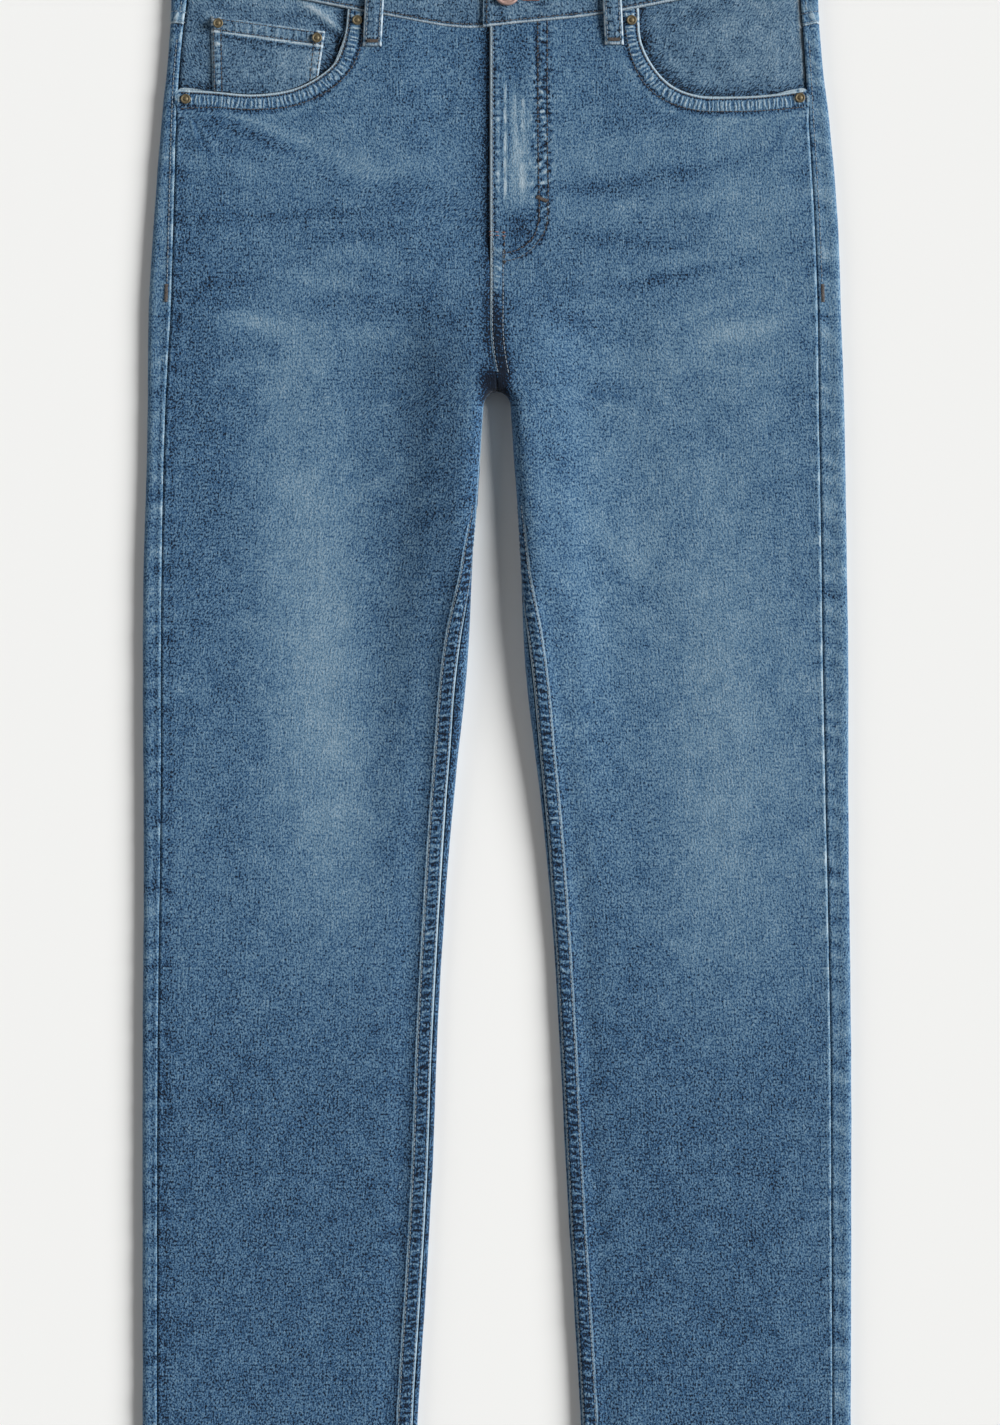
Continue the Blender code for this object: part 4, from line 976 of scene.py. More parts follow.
def back_panel(side):
    grid = finer(back_rows(side), 0, BACK_ROW_STEP)
    grid = finer(grid, 1, BACK_POINT_STEP, first=FELL_POINT_STEPS, last=WRAP_POINT_STEPS)
    grid[:, :, 2] = np.maximum(grid[:, :, 2], 0)
    sheet = wrapped(side, grid)
    x, y, reach, to_end = sheet.x, sheet.y, sheet.reach, sheet.to_end
    sheet.wear(1.0, 0.0, BACK_SINKS + BACK_SWELL * clouds(x, y, BACK_SWELL_SIZE, 2.2))
    sheet.folded(to_end, 1.2)
    sheet.folded(reach, 1.1)
    sheet.lines(to_end, (OUTSEAM_RIDGE,))
    if side == RIGHT:
        pale = (0.6 + 0.4 * ripple(y, 31.0, 1.3)) * (0.3 + 0.7 * ease(0, 120, y))
        sheet.wear(hump(to_end - 0.8, 0.65), pale)
        sheet.lines(to_end, ((3.0, 1.0, -0.4, 0),))
    else:
        sheet.lines(to_end, ((0.4, 0.9, -0.2, 0),))
        seat = ease(*SEAT_FROM_CROTCH, y)
        sheet.sewn(reach, y, SEAT_STITCHES, SEAT_PITCH, 2.0, where=seat)
        sheet.wear(seat, 0.0, -0.15)
    sheet.lines(to_end, (ALLOWANCE_LINE,), ease(308, 316, y))
    # painted shadow on the back panel just below the yoke's edge
    sheet.lines(yoke_seam(x) - y, (YOKE_EDGE_SHADOW,))
    sheet.lines(reach, ((2.0, 3.5, INSEAM_SHADE[side], 0),), ease(*INSEAM_SHADE_FROM, y))

    panel = cloth(f"cloth_back_{SIDE_NAMES[side]}", sheet, BLUE_DENIM, WALL, -1)
    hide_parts(f"back_{SIDE_NAMES[side]}")
    ROWS["pale"].append(sheet.row(ALLOWANCE_ROW, *ALLOWANCE_HEIGHTS, from_end=True))
    BARS["brown"].append(sheet.row(HIP_BAR, *HIP_BAR_HEIGHTS, lift=0.3, from_end=True))
    if side == LEFT:
        ROWS["pale"] += [sheet.row(distance, *SEAT_HEIGHTS, lift=0.05) for distance in SEAT_STITCHES]


for leg in (RIGHT, LEFT):
    back_panel(leg)

# Yokes: the shaped pieces between the back panels and the waistband. Each wraps round the outer fold, and is
# felled over the back panel below it with two rows, whose ends show at the front beside the outseam.
WAIST_END_X, BACK_WAIST_RISE = 217.0, 7.0
YOKE_PARTS, YOKE_ACROSS = (0.0, 0.35, 0.7, 1.0), (0.0, 0.07, *BACK_ACROSS)
YOKE_STITCHES, YOKE_PITCH, YOKE_ROW_STEP = (1.6, 8.0), 6.5, 1.6
YOKE_POINT_STEP, YOKE_ALLOWANCE_HEIGHTS = 3.0, (500.0, 517.0)


def back_waist_seam(x):
    return waist_seam(math.copysign(WAIST_END_X, x)) + BACK_WAIST_RISE * (1 - (x / WAIST_END_X) ** 2)


def yoke(side):
    rows, edge = [], abs(outline(side, YOKE_SIDE_Y, OUTER)) - FOLD
    across = [side * (GAP / 2 + f * (edge - GAP / 2)) for f in YOKE_ACROSS]
    for part in YOKE_PARTS:

        def height(x, seam):
            high = seam(x) - 1.5 * GAP
            return high + part * (yoke_seam(x) + GAP / 2 - high)

        behind = [(x, height(x, back_waist_seam)) for x in across]
        row = [(x, y, under(x, y)) for x, y in behind]
        wrap = outer_wrap(side, height(side * edge, waist_seam))
        rows.append(row + [(x, height(x, waist_seam), z) for x, _, z in wrap])
    grid = finer(finer(rows, 0, YOKE_ROW_STEP), 1, YOKE_POINT_STEP, last=WRAP_POINT_STEPS)
    sheet = wrapped(side, grid)
    sheet.sewn(sheet.to_low, sheet.reach, YOKE_STITCHES, YOKE_PITCH, 3.0 + side, puff=0.15)
    sheet.wear(1.0, 0.0, -0.2)
    sheet.folded(sheet.to_low, 1.1)
    sheet.folded(sheet.to_end, 1.2)
    sheet.lines(sheet.to_low, ((0.6, 0.8, 1.3, 0),))
    if side == RIGHT:
        sheet.lines(sheet.to_end, ((0.8, 0.7, 0.9, 0),))
    piece = cloth(f"cloth_yoke_{SIDE_NAMES[side]}", sheet, BLUE_DENIM, WALL, -1)
    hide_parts(f"yoke_{SIDE_NAMES[side]}")
    for distance in YOKE_STITCHES:
        ROWS["pale"].append(sheet.row(distance, lift=0.05, from_end=True, crosswise=True))
    ROWS["pale"].append(sheet.row(ALLOWANCE_ROW, *YOKE_ALLOWANCE_HEIGHTS, from_end=True))


for leg in (RIGHT, LEFT):
    yoke(leg)

# Pocket facings: the denim seen inside each front pocket's mouth. Each is sewn under the waistband and the
# outseam and goes on down under the front panel's edge. Its cloth has kept a greyer blue than the legs.
PATCH_WALL, PATCH_DYE = 1.2, 0.40
FACING_ROW_STEP, FACING_POINT_STEP = 1.6, 1.8
FACING_TOP = (93.0, 96.5, 100.5, 106.0, 130.0, 160.0, 192.0, 204.0)
FACING_PARTS, FACING_DEPTH, FACING_SINK = (0.0, 0.34, 0.68), WALL + GAP + 0.15, (1.0, 30.0)
FACING_MOTTLE = {side: ((0.14, 1, 1, 20, 2.0 + side), (0.1, 1, 1, 8, 1.0)) for side in (RIGHT, LEFT)}
FACING_CREASES = {
    RIGHT: (
        (-112, 492, 16, 2.3, -36, 1.3), (-115, 487.5, 15, 2.2, -36, -0.8), (-118, 499, 16, 2.0, -22, 0.6),
        (-150, 503, 30, 3.0, -8, 0.35), (-198, 470, 3.0, 25, 0, -0.3),
    ),
    LEFT: ((150, 480, 30, 4, 15, 0.2), (185, 465, 4, 20, 0, 0.25), (120, 490, 14, 3, 30, -0.25)),
}
COIN_OUTER, COIN_INNER = (191.3, 495.3), (113.6, 484.0)
COIN_COLUMNS, COIN_ROWS = slice(3, 7), slice(2, 6)
GREY_DENIM = denim(
    "greyer denim",
    (0.002, 0.008, 0.018), (0.031, 0.085, 0.166), (0.138, 0.233, 0.325), (0.44, 0.52, 0.58),
)


def facing_columns(side):
    """Points from the waistband, over the coin pocket's hem and down under the edge of the mouth."""
    inside, columns = mouth_path(side, MOUTH_EDGE), []
    outer = abs(outline(side, 470, OUTSEAM)) - GAP / 2
    for n, (high_x, (edge_x, edge_y, low_x, low_y)) in enumerate(zip(FACING_TOP, MOUTH[side])):
        last = n == len(FACING_TOP) - 1
        if last:
            high_x = abs(outline(side, 517, OUTSEAM)) - GAP / 2
            edge_x = low_x = abs(outline(side, edge_y, OUTSEAM)) - GAP / 2
        part = (edge_x - COIN_INNER[0]) / (COIN_OUTER[0] - COIN_INNER[0])
        slant_y = COIN_INNER[1] + part * (COIN_OUTER[1] - COIN_INNER[1])
        high = np.array((side * high_x, waist_seam(side * high_x) - GAP))
        coin = np.array((side * min(edge_x + 0.35 * (high_x - edge_x), outer), max(slant_y, edge_y + 6)))
        edge = np.array((side * edge_x, edge_y + 0.6))
        low = np.array((side * (edge_x + 0.85 * (low_x - edge_x)), edge_y + 0.85 * (low_y - edge_y)))
        if n == 0:
            coin, edge = (high + f * (low - high) for f in (0.35, 0.8))
        column, between = [], [coin + f * (edge - coin) for f in FACING_PARTS]
        for x, y in (high, (high + coin) / 2, *between, edge, low):
            if last:
                x = outline(side, y, OUTSEAM) - side * 1.5 * GAP
            far = float(beside(inside, x, y)[0]) * -side
            column.append((x, y, top(x, y) - FACING_DEPTH * (1 - ease(*FACING_SINK, far))))
        columns.append(column)
    return np.array(columns).transpose(1, 0, 2)


def pocket_facing(side, coarse):
    sheet = Sheet(finer(finer(coarse, 0, FACING_ROW_STEP), 1, FACING_POINT_STEP), dye_and_painted_shade=PATCH_DYE)
    x, y = sheet.x, sheet.y
    # creases pale on their ridges and dark beside them, with the same patches raising and lowering the cloth:
    # partly worn, partly painted highlight and shade
    crease_and_shade = patches(x, y, FACING_CREASES[side])
    sheet.wear(1.0, mottle(x, y, FACING_MOTTLE[side]) + crease_and_shade, 0.1 * clouds(x, y, 30, 1.0) + 0.5 * crease_and_shade)
    # painted shadow on the facing beside the pocket's mouth, cast by the front panel's edge
    sheet.lines(beside(mouth_path(side, MOUTH_EDGE), x, y)[0], ((0.0, 6.0, -1.1, 0),))
    sheet.folded(sheet.to_end, 1.1)
    if side == LEFT:
        sheet.wear(ease(120, 170, x), 0.25)
        sheet.lines(sheet.to_end, ((0.8, 0.9, 1.6, 0),))
    piece = cloth(f"cloth_pocket_facing_{SIDE_NAMES[side]}", sheet, GREY_DENIM, PATCH_WALL, 1)
    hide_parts(f"pocket_facing_{SIDE_NAMES[side]}")


facings = {leg: facing_columns(leg) for leg in (RIGHT, LEFT)}
for leg in (RIGHT, LEFT):
    pocket_facing(leg, facings[leg])

# Coin pocket: a small patch of the same greyer denim, hemmed along its slanting upper edge and sewn down with
# two rows at each side. Its lower end is caught under the front panel at the pocket's mouth.
COIN_STEP, COIN_HEM, COIN_SIDE = 1.1, (1.5, 8.6), (1.5, 6.4)
COIN_MOTTLE = ((0.16, 1, 1, 22, 5.0), (0.12, 1, 1, 8, 3.0))
# Lines along the hem: its pale top edge, its pale lower edge, and painted shadow below that edge.
COIN_HEM_LINES_AND_SHADOW = ((0.6, 0.8, 1.3, 0), (COIN_HEM[1] + 1.3, 0.8, 1.8, 0), (12.5, 1.5, -0.9, 0))


def coin_pocket(facing):
    coarse = facing[COIN_ROWS, COIN_COLUMNS] + (0, 0, GAP + PATCH_WALL)
    sheet = Sheet(finer(finer(coarse, 0, COIN_STEP), 1, COIN_STEP), dye_and_painted_shade=PATCH_DYE)
    x, y, down = sheet.x, sheet.y, sheet.down
    sheet.wear(1.0, mottle(x, y, COIN_MOTTLE))
    sheet.sewn(down, sheet.reach, COIN_HEM, 4.6, 1.2, puff=0.35, ribs=0.25, dye_and_painted_shade=0.6)
    sheet.folded(down, 1.1)
    sheet.lines(down, COIN_HEM_LINES_AND_SHADOW)
    body = ease(COIN_HEM[1], COIN_HEM[1] + 2, down)
    sheet.wear(body, 0.35 * ease(-165, -130, x) - 0.2 * hump(down - 44, 12))
    for d, seed, strength in ((sheet.to_end, 2.2, 1.0), (sheet.reach, 4.2, 0.8)):
        sheet.sewn(d, down, COIN_SIDE, 4.4, seed, where=strength * body, puff=0.25, ribs=0.35, dye_and_painted_shade=0.9)
        sheet.folded(d, 1.1)
        sheet.lines(d, ((0.6, 0.8, 1.4, 0),))
    sheet.wear(drawn_in(x, y, ("coin_outer", "coin_inner")), 1.4, 0.2)
    piece = cloth("cloth_coin_pocket", sheet, GREY_DENIM, PATCH_WALL, 1)
    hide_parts("coin_pocket")
    ROWS["tan"] += [sheet.row(distance, crosswise=True)[2:-2] for distance in COIN_HEM]
    for distance in COIN_SIDE:
        ROWS["tan"] += [sheet.row(distance, from_end=from_end)[8:] for from_end in (True, False)]


coin_pocket(facings[RIGHT])

# Waistband: one strip folded double, from the underlap round the back to the end that is buttoned over it at
# the fly. It is edge-stitched all round.
BAND_WALL, BAND_ROW = 2.0, 2.5
BAND_POINT_STEP, BAND_ROW_STEP = 2.0, 1.0
LAP_END_X, UNDERLAP_END_X = -9.3, 32.0
LAP_UP, LAP_DOWN = 0.9, 1.4
FRONT_BAND = {
    RIGHT: (UNDERLAP_END_X, 18, 4, -9, -22, -36, -50, -66, -90, -120, -150, -180, -203),
    LEFT: (200, 175, 145, 115, 88, 66, 50, 36, 24, 12, 1, LAP_END_X),
}
BACK_BAND = np.linspace(-203, 203, 29)
BAND_MOTTLE = ((0.12, 1, 1, 34, 1.0), (0.13, 1, 1, 11, 4.0))
BAND_LINES = ((BAND_ROW, 0.7, 0, -0.2), (BAND_ROW, 0.8, -1.3, 0), (0.7, 0.9, 1.8, 0))
BAND_TUCK_PITCH, BAND_TUCK_AT, BAND_TUCK_WIDTH, BAND_TUCK_DYE, BAND_TUCK_HEIGHT = 8.0, 4.2, 3.0, 0.35, 0.2
BUTTON_X, BUTTON_Y, BUTTON_DRAWS = 15, 508, 22


def band_column(seam, place):
    return [place(seam + part * BAND_HEIGHT) for part in (0.0, 0.5, 1.0)]


def front_band(side):
    def lifted(x):
        return lambda y: (x, y, top(x, y) + overlap(x, y, LAP_UP, LAP_DOWN, side))

    return [band_column(waist_seam(x), lifted(x)) for x in FRONT_BAND[side]]


def band_fold(side):
    def at(turn):
        return lambda y: on_fold(side, y, FOLD * math.radians(turn), OUTER)

    turns = FOLD_TURNS[::-1] if side == RIGHT else FOLD_TURNS
    return [band_column(waist_seam(side * WAIST_END_X), at(turn)) for turn in turns]


def waistband():
    behind = [band_column(back_waist_seam(x), lambda y, x=x: (x, y, under(x, y))) for x in BACK_BAND]
    columns = [*front_band(RIGHT), *band_fold(RIGHT), *behind, *band_fold(LEFT), *front_band(LEFT)]
    grid = finer(np.array(columns).transpose(1, 0, 2), 1, BAND_POINT_STEP)
    grid = finer(grid, 0, BAND_ROW_STEP)
    grid[:, :, 2] = np.maximum(grid[:, :, 2], 0)
    sheet = Sheet(grid, dye_and_painted_shade=PATCH_DYE, height=-0.1)
    x, y, reach, up = sheet.x, sheet.y, sheet.reach, sheet.down
    sheet.wear(1.0, mottle(reach, up, BAND_MOTTLE), 0.12 * clouds(reach, up, 30, 2.0))
    for d, run in ((up, reach), (sheet.to_low, reach), (reach, up), (sheet.to_end, up)):
        tucks = ripple(run, BAND_TUCK_PITCH, 2.0) * hump(d - BAND_TUCK_AT, BAND_TUCK_WIDTH)
        sheet.wear(tucks, BAND_TUCK_DYE, BAND_TUCK_HEIGHT)
        sheet.folded(d, 1.2)
        sheet.lines(d, BAND_LINES)
    # the cloth is drawn in round the button
    sheet.wear(clouds(x, y, 9, 1.0) * hump(np.hypot(x - BUTTON_X, y - BUTTON_Y), BUTTON_DRAWS), 0.3)
    piece = cloth("cloth_waistband", sheet, GREY_DENIM, BAND_WALL, -1)
    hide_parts("waistband")
    for from_end in (False, True):
        for crosswise in (True, False):
            line = sheet.row(BAND_ROW, lift=0.08, from_end=from_end, crosswise=crosswise)
            ROWS["tan"].append(line[3:-3])


waistband()

# Belt loops: narrow straps folded in three, stitched along both edges and tacked down with bars at their
# ends. Two are at the front over the pockets and three at the back, between the waistband and the surface.
LOOP_WIDTH, LOOP_BOW, LOOP_BELOW = 12.5, 1.1, 13.0
LOOP_ROW, LOOP_BAR, LOOP_ROW_STEP, LOOP_POINT_STEP = 4.3, 3.4, 0.9, 0.7
LOOP_PARTS = (0.0, 0.12, 0.3, 0.5, 0.7, 0.88, 1.0)
FRONT_LOOPS = (("front_right", -83.0, -80.0, 474.5, 532.5), ("front_left", 78.0, 75.2, 475.5, 532.5))
BACK_LOOPS = (("back_right", -142.0), ("centre_back", 0.0), ("back_left", 142.0))
LOOP_DYE = 0.42
LOOP_TUCK_PITCH, LOOP_TUCK_AT, LOOP_TUCK_WIDTH = 5.2, 3.4, 2.4
PRESSED = 0.3  # what lies under the jeans is pressed in by this much
LOOP_EDGE_LINES, LOOP_END_LINES = ((0.6, 0.8, 1.7, 0),), ((0.6, 0.9, 1.6, 0), (4.4, 1.2, -1.1, 0))
LOOP_ROW_LINES = ((0, 2.6, 0, 0.25), (LOOP_ROW, 0.6, 0, -0.2), (LOOP_ROW, 0.8, -1.3, 0))


def belt_loop(name, rows, way):
    grid = finer(finer(rows, 0, LOOP_ROW_STEP), 1, LOOP_POINT_STEP)
    if way < 0:
        grid[:, :, 2] = np.maximum(grid[:, :, 2], 0)
    sheet = Sheet(grid, dye_and_painted_shade=LOOP_DYE)
    across, down = sheet.reach - LOOP_WIDTH / 2, sheet.down
    end, edge = np.minimum(down, sheet.to_low), LOOP_WIDTH / 2 - np.abs(across)
    tucks = ripple(down, LOOP_TUCK_PITCH, len(name))
    sheet.wear(tucks * hump(edge - LOOP_TUCK_AT, LOOP_TUCK_WIDTH), 0.6, 0.16)
    sheet.wear(clouds(across * 2, down, 7, len(name)), 0.35)
    sheet.folded(edge, 1.2)
    sheet.folded(end, 1.0)
    sheet.lines(np.abs(across), LOOP_ROW_LINES)
    sheet.lines(edge, LOOP_EDGE_LINES)
    sheet.lines(end, LOOP_END_LINES)
    if way < 0:
        sheet.height = np.minimum(sheet.height - PRESSED, 0)
    piece = cloth(f"cloth_belt_loop_{name}", sheet, GREY_DENIM, PATCH_WALL, way)
    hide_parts(f"belt_loop_{name}")
    lift = 0.1 if way > 0 else 0.0
    for from_end in (False, True):
        ROWS["pale"].append(sheet.row(LOOP_WIDTH / 2 - LOOP_ROW, lift=lift, from_end=from_end)[2:-2])
        BARS["brown"].append(sheet.row(LOOP_BAR, lift=lift, from_end=from_end, crosswise=True)[4:-4])


for name, low_x, high_x, low_y, high_y in FRONT_LOOPS:
    rows = []
    for part in LOOP_PARTS:
        x, y = low_x + part * (high_x - low_x), low_y + part * (high_y - low_y)
        edges = (x - LOOP_WIDTH / 2, x + LOOP_WIDTH / 2)
        lap = LAP_UP if x > 0 else 0
        base = max(top(px, y) + overlap(px, y, lap, 0, LEFT) for px in edges)
        z = base + 2 * GAP + PATCH_WALL + LOOP_BOW * ease(0, 0.3, min(part, 1 - part))
        rows.append([(px, y, z) for px in (edges[0], x, edges[1])])
    belt_loop(name, rows, 1)
for name, x in BACK_LOOPS:
    low, high = back_waist_seam(x) - LOOP_BELOW, back_waist_seam(x) + BAND_HEIGHT - 1
    across = [x + part * LOOP_WIDTH for part in (-0.5, 0, 0.5)]
    belt_loop(name, [[(px, y, 0.0) for px in across] for y in np.linspace(low, high, 4)], -1)

# Back pockets: five-sided patches of denim, hemmed at the top and sewn to the seat with two rows. The jeans
# lie on them.
BACK_POCKET = ((38.0, 418.0), (178.0, 424.0), (172.0, 292.0), (108.0, 276.0), (44.0, 290.0))
POCKET_COLUMNS, POCKET_ROWS, POCKET_EDGE = 61, 64, 1.2
POCKET_DYE, POCKET_HEM, POCKET_SIDE = 0.35, (2.0, 13.0), (1.8, 7.4)
POCKET_MIDDLE, POCKET_FADE, POCKET_RADIUS = (108.0, 350.0), (60.0, 0.2), 62.0


def straight_path(points, step=1.0):
    """Points along straight lines from corner to corner."""
    line = []
    for a, b in zip(points[:-1], points[1:]):
        count = max(2, int(np.linalg.norm(b - a) / step))
        line += [a + (b - a) * f for f in np.arange(count) / count]
    return [*line, points[-1]]


def back_pocket(side):
    top_in, top_out, low_out, point, low_in = (np.array((side * x, y)) for x, y in BACK_POCKET)

    def spread(*corners):
        places = np.linspace(0, 2, POCKET_COLUMNS)
        return np.stack([np.interp(places, range(3), axis) for axis in np.array(corners).T], axis=1)

    high, low = spread(top_in, (top_in + top_out) / 2, top_out), spread(low_in, point, low_out)
    parts = np.linspace(0, 1, POCKET_ROWS)[:, None, None]
    flat = (1 - parts) * high + parts * low
    sheet = Sheet(np.concatenate([flat, np.zeros_like(flat[:, :, :1])], axis=2), dye_and_painted_shade=POCKET_DYE)
    x, y, down = sheet.x, sheet.y, sheet.down
    corners = [top_in, low_in, point, low_out, top_out]
    to_side, run = beside(corners, x, y)
    to_side = np.abs(to_side)
    sheet.sewn(down, x, POCKET_HEM, 8.0, 3.3 + side, puff=0.0, ribs=0.15)
    sheet.sewn(to_side, run, POCKET_SIDE, 6.5, 1.3 + side, puff=0.0, ribs=0.15)
    middle_part = ease(0, POCKET_EDGE, np.minimum(to_side, down))
    sheet.height = np.minimum(sheet.height - PRESSED, 0) - PRESSED * middle_part
    away = np.hypot(x - side * POCKET_MIDDLE[0], y - POCKET_MIDDLE[1])
    sheet.wear(1.0, POCKET_FADE[1] * hump(away, POCKET_FADE[0]) + 0.12 * clouds(x, y, 16, 2.0))
    for d in (to_side, down):
        sheet.lines(d, ((0.7, 0.8, 0.7, 0),))
    piece = cloth(f"cloth_back_pocket_{SIDE_NAMES[side]}", sheet, BLUE_DENIM, PATCH_WALL, -1)
    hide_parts(f"back_pocket_{SIDE_NAMES[side]}")
    middle = sum(corners) / len(corners)
    paths = [straight_path([c + (middle - c) * d / POCKET_RADIUS for c in corners]) for d in POCKET_SIDE]
    for d in POCKET_HEM:
        paths.append([top_in + (top_out - top_in) * f - (0, d) for f in np.linspace(0.02, 0.98, 50)])
    ROWS["tan"] += [[(px, py, 0.3) for px, py in path] for path in paths]


for leg in (RIGHT, LEFT):
    back_pocket(leg)

# Hems: the turned-up end of each leg, sewn down with one row all round. Puckers run up from the row.
HEM_WALL, HEM_ROW = 2.3, 10.6
HEM_ROWS, HEM_COLUMNS, HEM_TURNS = 14, 90, np.linspace(-90, 90, 15)
HEM_LINES = ((0.5, 0.9, 0.9, 0), (HEM_ROW, 0.7, -0.4, -0.2))
HEM_TUCK_PITCH, HEM_TUCK_LEAN, HEM_TUCK_AT, HEM_TUCK_WIDTH = 11.0, 0.5, 6, 5


def hem(side):
    rows = []
    for y in np.linspace(HEM_Y + HEM_HEIGHT, HEM_Y, HEM_ROWS):
        low, high = abs(outline(side, y, INNER)) + FOLD, abs(outline(side, y, OUTER)) - FOLD
        xs = [side * x for x in np.linspace(low, high, HEM_COLUMNS)[1:-1]]
        outside = [on_fold(side, y, FOLD * math.radians(turn), OUTER) for turn in HEM_TURNS[::-1]]
        inside = [on_fold(side, y, FOLD * math.radians(turn), INNER) for turn in HEM_TURNS]
        rows.append([(x, y, top(x, y)) for x in xs] + outside + [(x, y, 0.0) for x in xs[::-1]] + inside)
    sheet = Sheet(rows, height=-0.1)
    up = sheet.y - HEM_Y
    sheet.wear(1.0, worn(sheet.x, sheet.y))
    tucks = ripple(sheet.reach + HEM_TUCK_LEAN * up, HEM_TUCK_PITCH, 2.0 + side) * ease(1, 5, up)
    sheet.wear(tucks * hump(up - HEM_TUCK_AT, HEM_TUCK_WIDTH), 0.4, 0.25)
    sheet.folded(up, 1.3)
    sheet.folded(HEM_HEIGHT - up, 1.0)
    sheet.lines(up, HEM_LINES)
    piece = cloth(f"cloth_hem_{SIDE_NAMES[side]}", sheet, BLUE_DENIM, HEM_WALL, 1, ring=True)
    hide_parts(f"hem_{SIDE_NAMES[side]}")
    sheet.down = HEM_HEIGHT - up
    line = sheet.row(HEM_HEIGHT - HEM_ROW, lift=0.05, crosswise=True)
    ROWS["pale"].append([*line, line[0]])


for leg in (RIGHT, LEFT):
    hem(leg)

# Sewing: every row of stitches is thick cotton thread, pale blue-grey on the long seams and tan on the
# pockets and the fly. The bars that take the strain are brown or orange thread laid across in tight rows.
THREAD_WIDTH = 0.62
STITCH_SIZES = (STITCH_LENGTH * 0.86, THREAD_WIDTH, THREAD_WIDTH * 0.8)
BAR_PITCH, BAR_SIZES = 0.55, (0.6, 2.6, 0.7)
THREADS = {
    "pale": (0.22, 0.28, 0.33), "tan": (0.065, 0.058, 0.056), "brown": (0.085, 0.065, 0.052),
    "orange": (0.34, 0.14, 0.10),
}
PATH_STEP, MOUTH_INSET = 1.5, 1.7


def over(path, piece, lift=0.12):
    """A path across and up, laid on a piece's upper side."""
    down, line = Vector((0, 0, -1)), []
    for x, y in path:
        place = SURFACES[piece].ray_cast(Vector((x, y, 60.0)), down)[0]
        if place is not None:
            line.append((x, y, place.z + lift))
    return line


for side in (RIGHT, LEFT):
    edge = mouth_path(side, MOUTH_EDGE, PATH_STEP)
    tangent = np.gradient(edge, axis=0)
    tangent /= np.linalg.norm(tangent, axis=1, keepdims=True)
    inset = edge + side * MOUTH_INSET * np.stack([tangent[:, 1], -tangent[:, 0]], axis=1)
    for path in (inset, mouth_path(side, MOUTH_LOW, PATH_STEP)):
        ROWS["tan"].append(over(path[1:-2], f"cloth_front_{SIDE_NAMES[side]}"))
for path in FLY_ROWS:
    ROWS["tan"].append(over(smooth_path(path, PATH_STEP), "cloth_front_left"))


def thread(name, shade):
    made, tree, shader = material(name, {"Roughness": 0.75, "Sheen Weight": 0.3})
    place = node(tree, "ShaderNodeTexCoord").outputs["Object"]
    fluff = node(tree, "ShaderNodeTexNoise", {"Vector": place, "Scale": 900.0, "Detail": 2.0}).outputs[0]
    stops = ((0.32, [0.45 * c for c in shade]), (0.68, [1.35 * c for c in shade]))
    bump = node(tree, "ShaderNodeBump", {"Strength": 0.5, "Distance": 0.1 * MM, "Height": fluff})
    tree.links.new(colour_ramp(tree, fluff, stops), shader["Base Color"])
    tree.links.new(bump.outputs[0], shader["Normal"])
    return made


def sewing_tree():
    """Puts a stitch at every pitch along the paths, with its own size along, across and through the cloth."""
    tree = bpy.data.node_groups.new("sewing", "GeometryNodeTree")
    tree.interface.new_socket("Paths", in_out="INPUT", socket_type="NodeSocketGeometry")
    for name in ("Pitch", "Along", "Across", "Through"):
        tree.interface.new_socket(name, in_out="INPUT", socket_type="NodeSocketFloat")
    tree.interface.new_socket("Thread", in_out="INPUT", socket_type="NodeSocketMaterial")
    tree.interface.new_socket("Stitches", in_out="OUTPUT", socket_type="NodeSocketGeometry")
    given = node(tree, "NodeGroupInput").outputs
    paths = {"Curve": given["Paths"], "Length": given["Pitch"]}
    places = node(tree, "GeometryNodeCurveToPoints", paths, mode="LENGTH").outputs
    ball = node(tree, "GeometryNodeMeshUVSphere", {"Segments": 8, "Rings": 5, "Radius": 0.5})
    size = {"X": given["Across"], "Y": given["Through"], "Z": given["Along"]}
    scale = node(tree, "ShaderNodeCombineXYZ", size).outputs[0]
    shaped = node(tree, "GeometryNodeTransform", {"Geometry": ball.outputs["Mesh"], "Scale": scale})
    copied = {"Points": places["Points"], "Instance": shaped.outputs[0], "Rotation": places["Rotation"]}
    copies = node(tree, "GeometryNodeInstanceOnPoints", copied)
    smooth = node(tree, "GeometryNodeSetShadeSmooth", {"Geometry": copies.outputs[0]})
    real = node(tree, "GeometryNodeRealizeInstances", {"Geometry": smooth.outputs[0]})
    dyed = {"Geometry": real.outputs[0], "Material": given["Thread"]}
    node(tree, "NodeGroupOutput", {"Stitches": node(tree, "GeometryNodeSetMaterial", dyed).outputs[0]})
    return tree


SEWING = sewing_tree()


def sew(name, paths, pitch, sizes, colour):
    """Stitches of one thread along many paths, as one piece. The sizes are along, across and through."""
    curve = bpy.data.curves.new(name, "CURVE")
    curve.dimensions, curve.twist_mode = "3D", "Z_UP"
    lowest = sizes[2] / 2  # no thread sinks into the surface that the jeans lie on
    for path in paths:
        line = curve.splines.new("POLY")
        line.points.add(len(path) - 1)
        places = [(x * MM, y * MM, max(z, lowest) * MM, 1) for x, y, z in path]
        line.points.foreach_set("co", np.array(places).ravel())
    guide = in_scene(f"{name}_paths", curve)
    rule = guide.modifiers.new("sewing", "NODES")
    rule.node_group = SEWING
    labels = ("Pitch", "Along", "Across", "Through")
    values = {label: size * MM for label, size in zip(labels, (pitch, *sizes))}
    values["Thread"] = colour
    for socket in SEWING.interface.items_tree:
        if socket.name in values:
            rule[socket.identifier] = values[socket.name]
    evaluated = guide.evaluated_get(bpy.context.evaluated_depsgraph_get())
    mesh = bpy.data.meshes.new_from_object(evaluated)
    bpy.data.objects.remove(guide)
    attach(in_scene(name, mesh), "root")


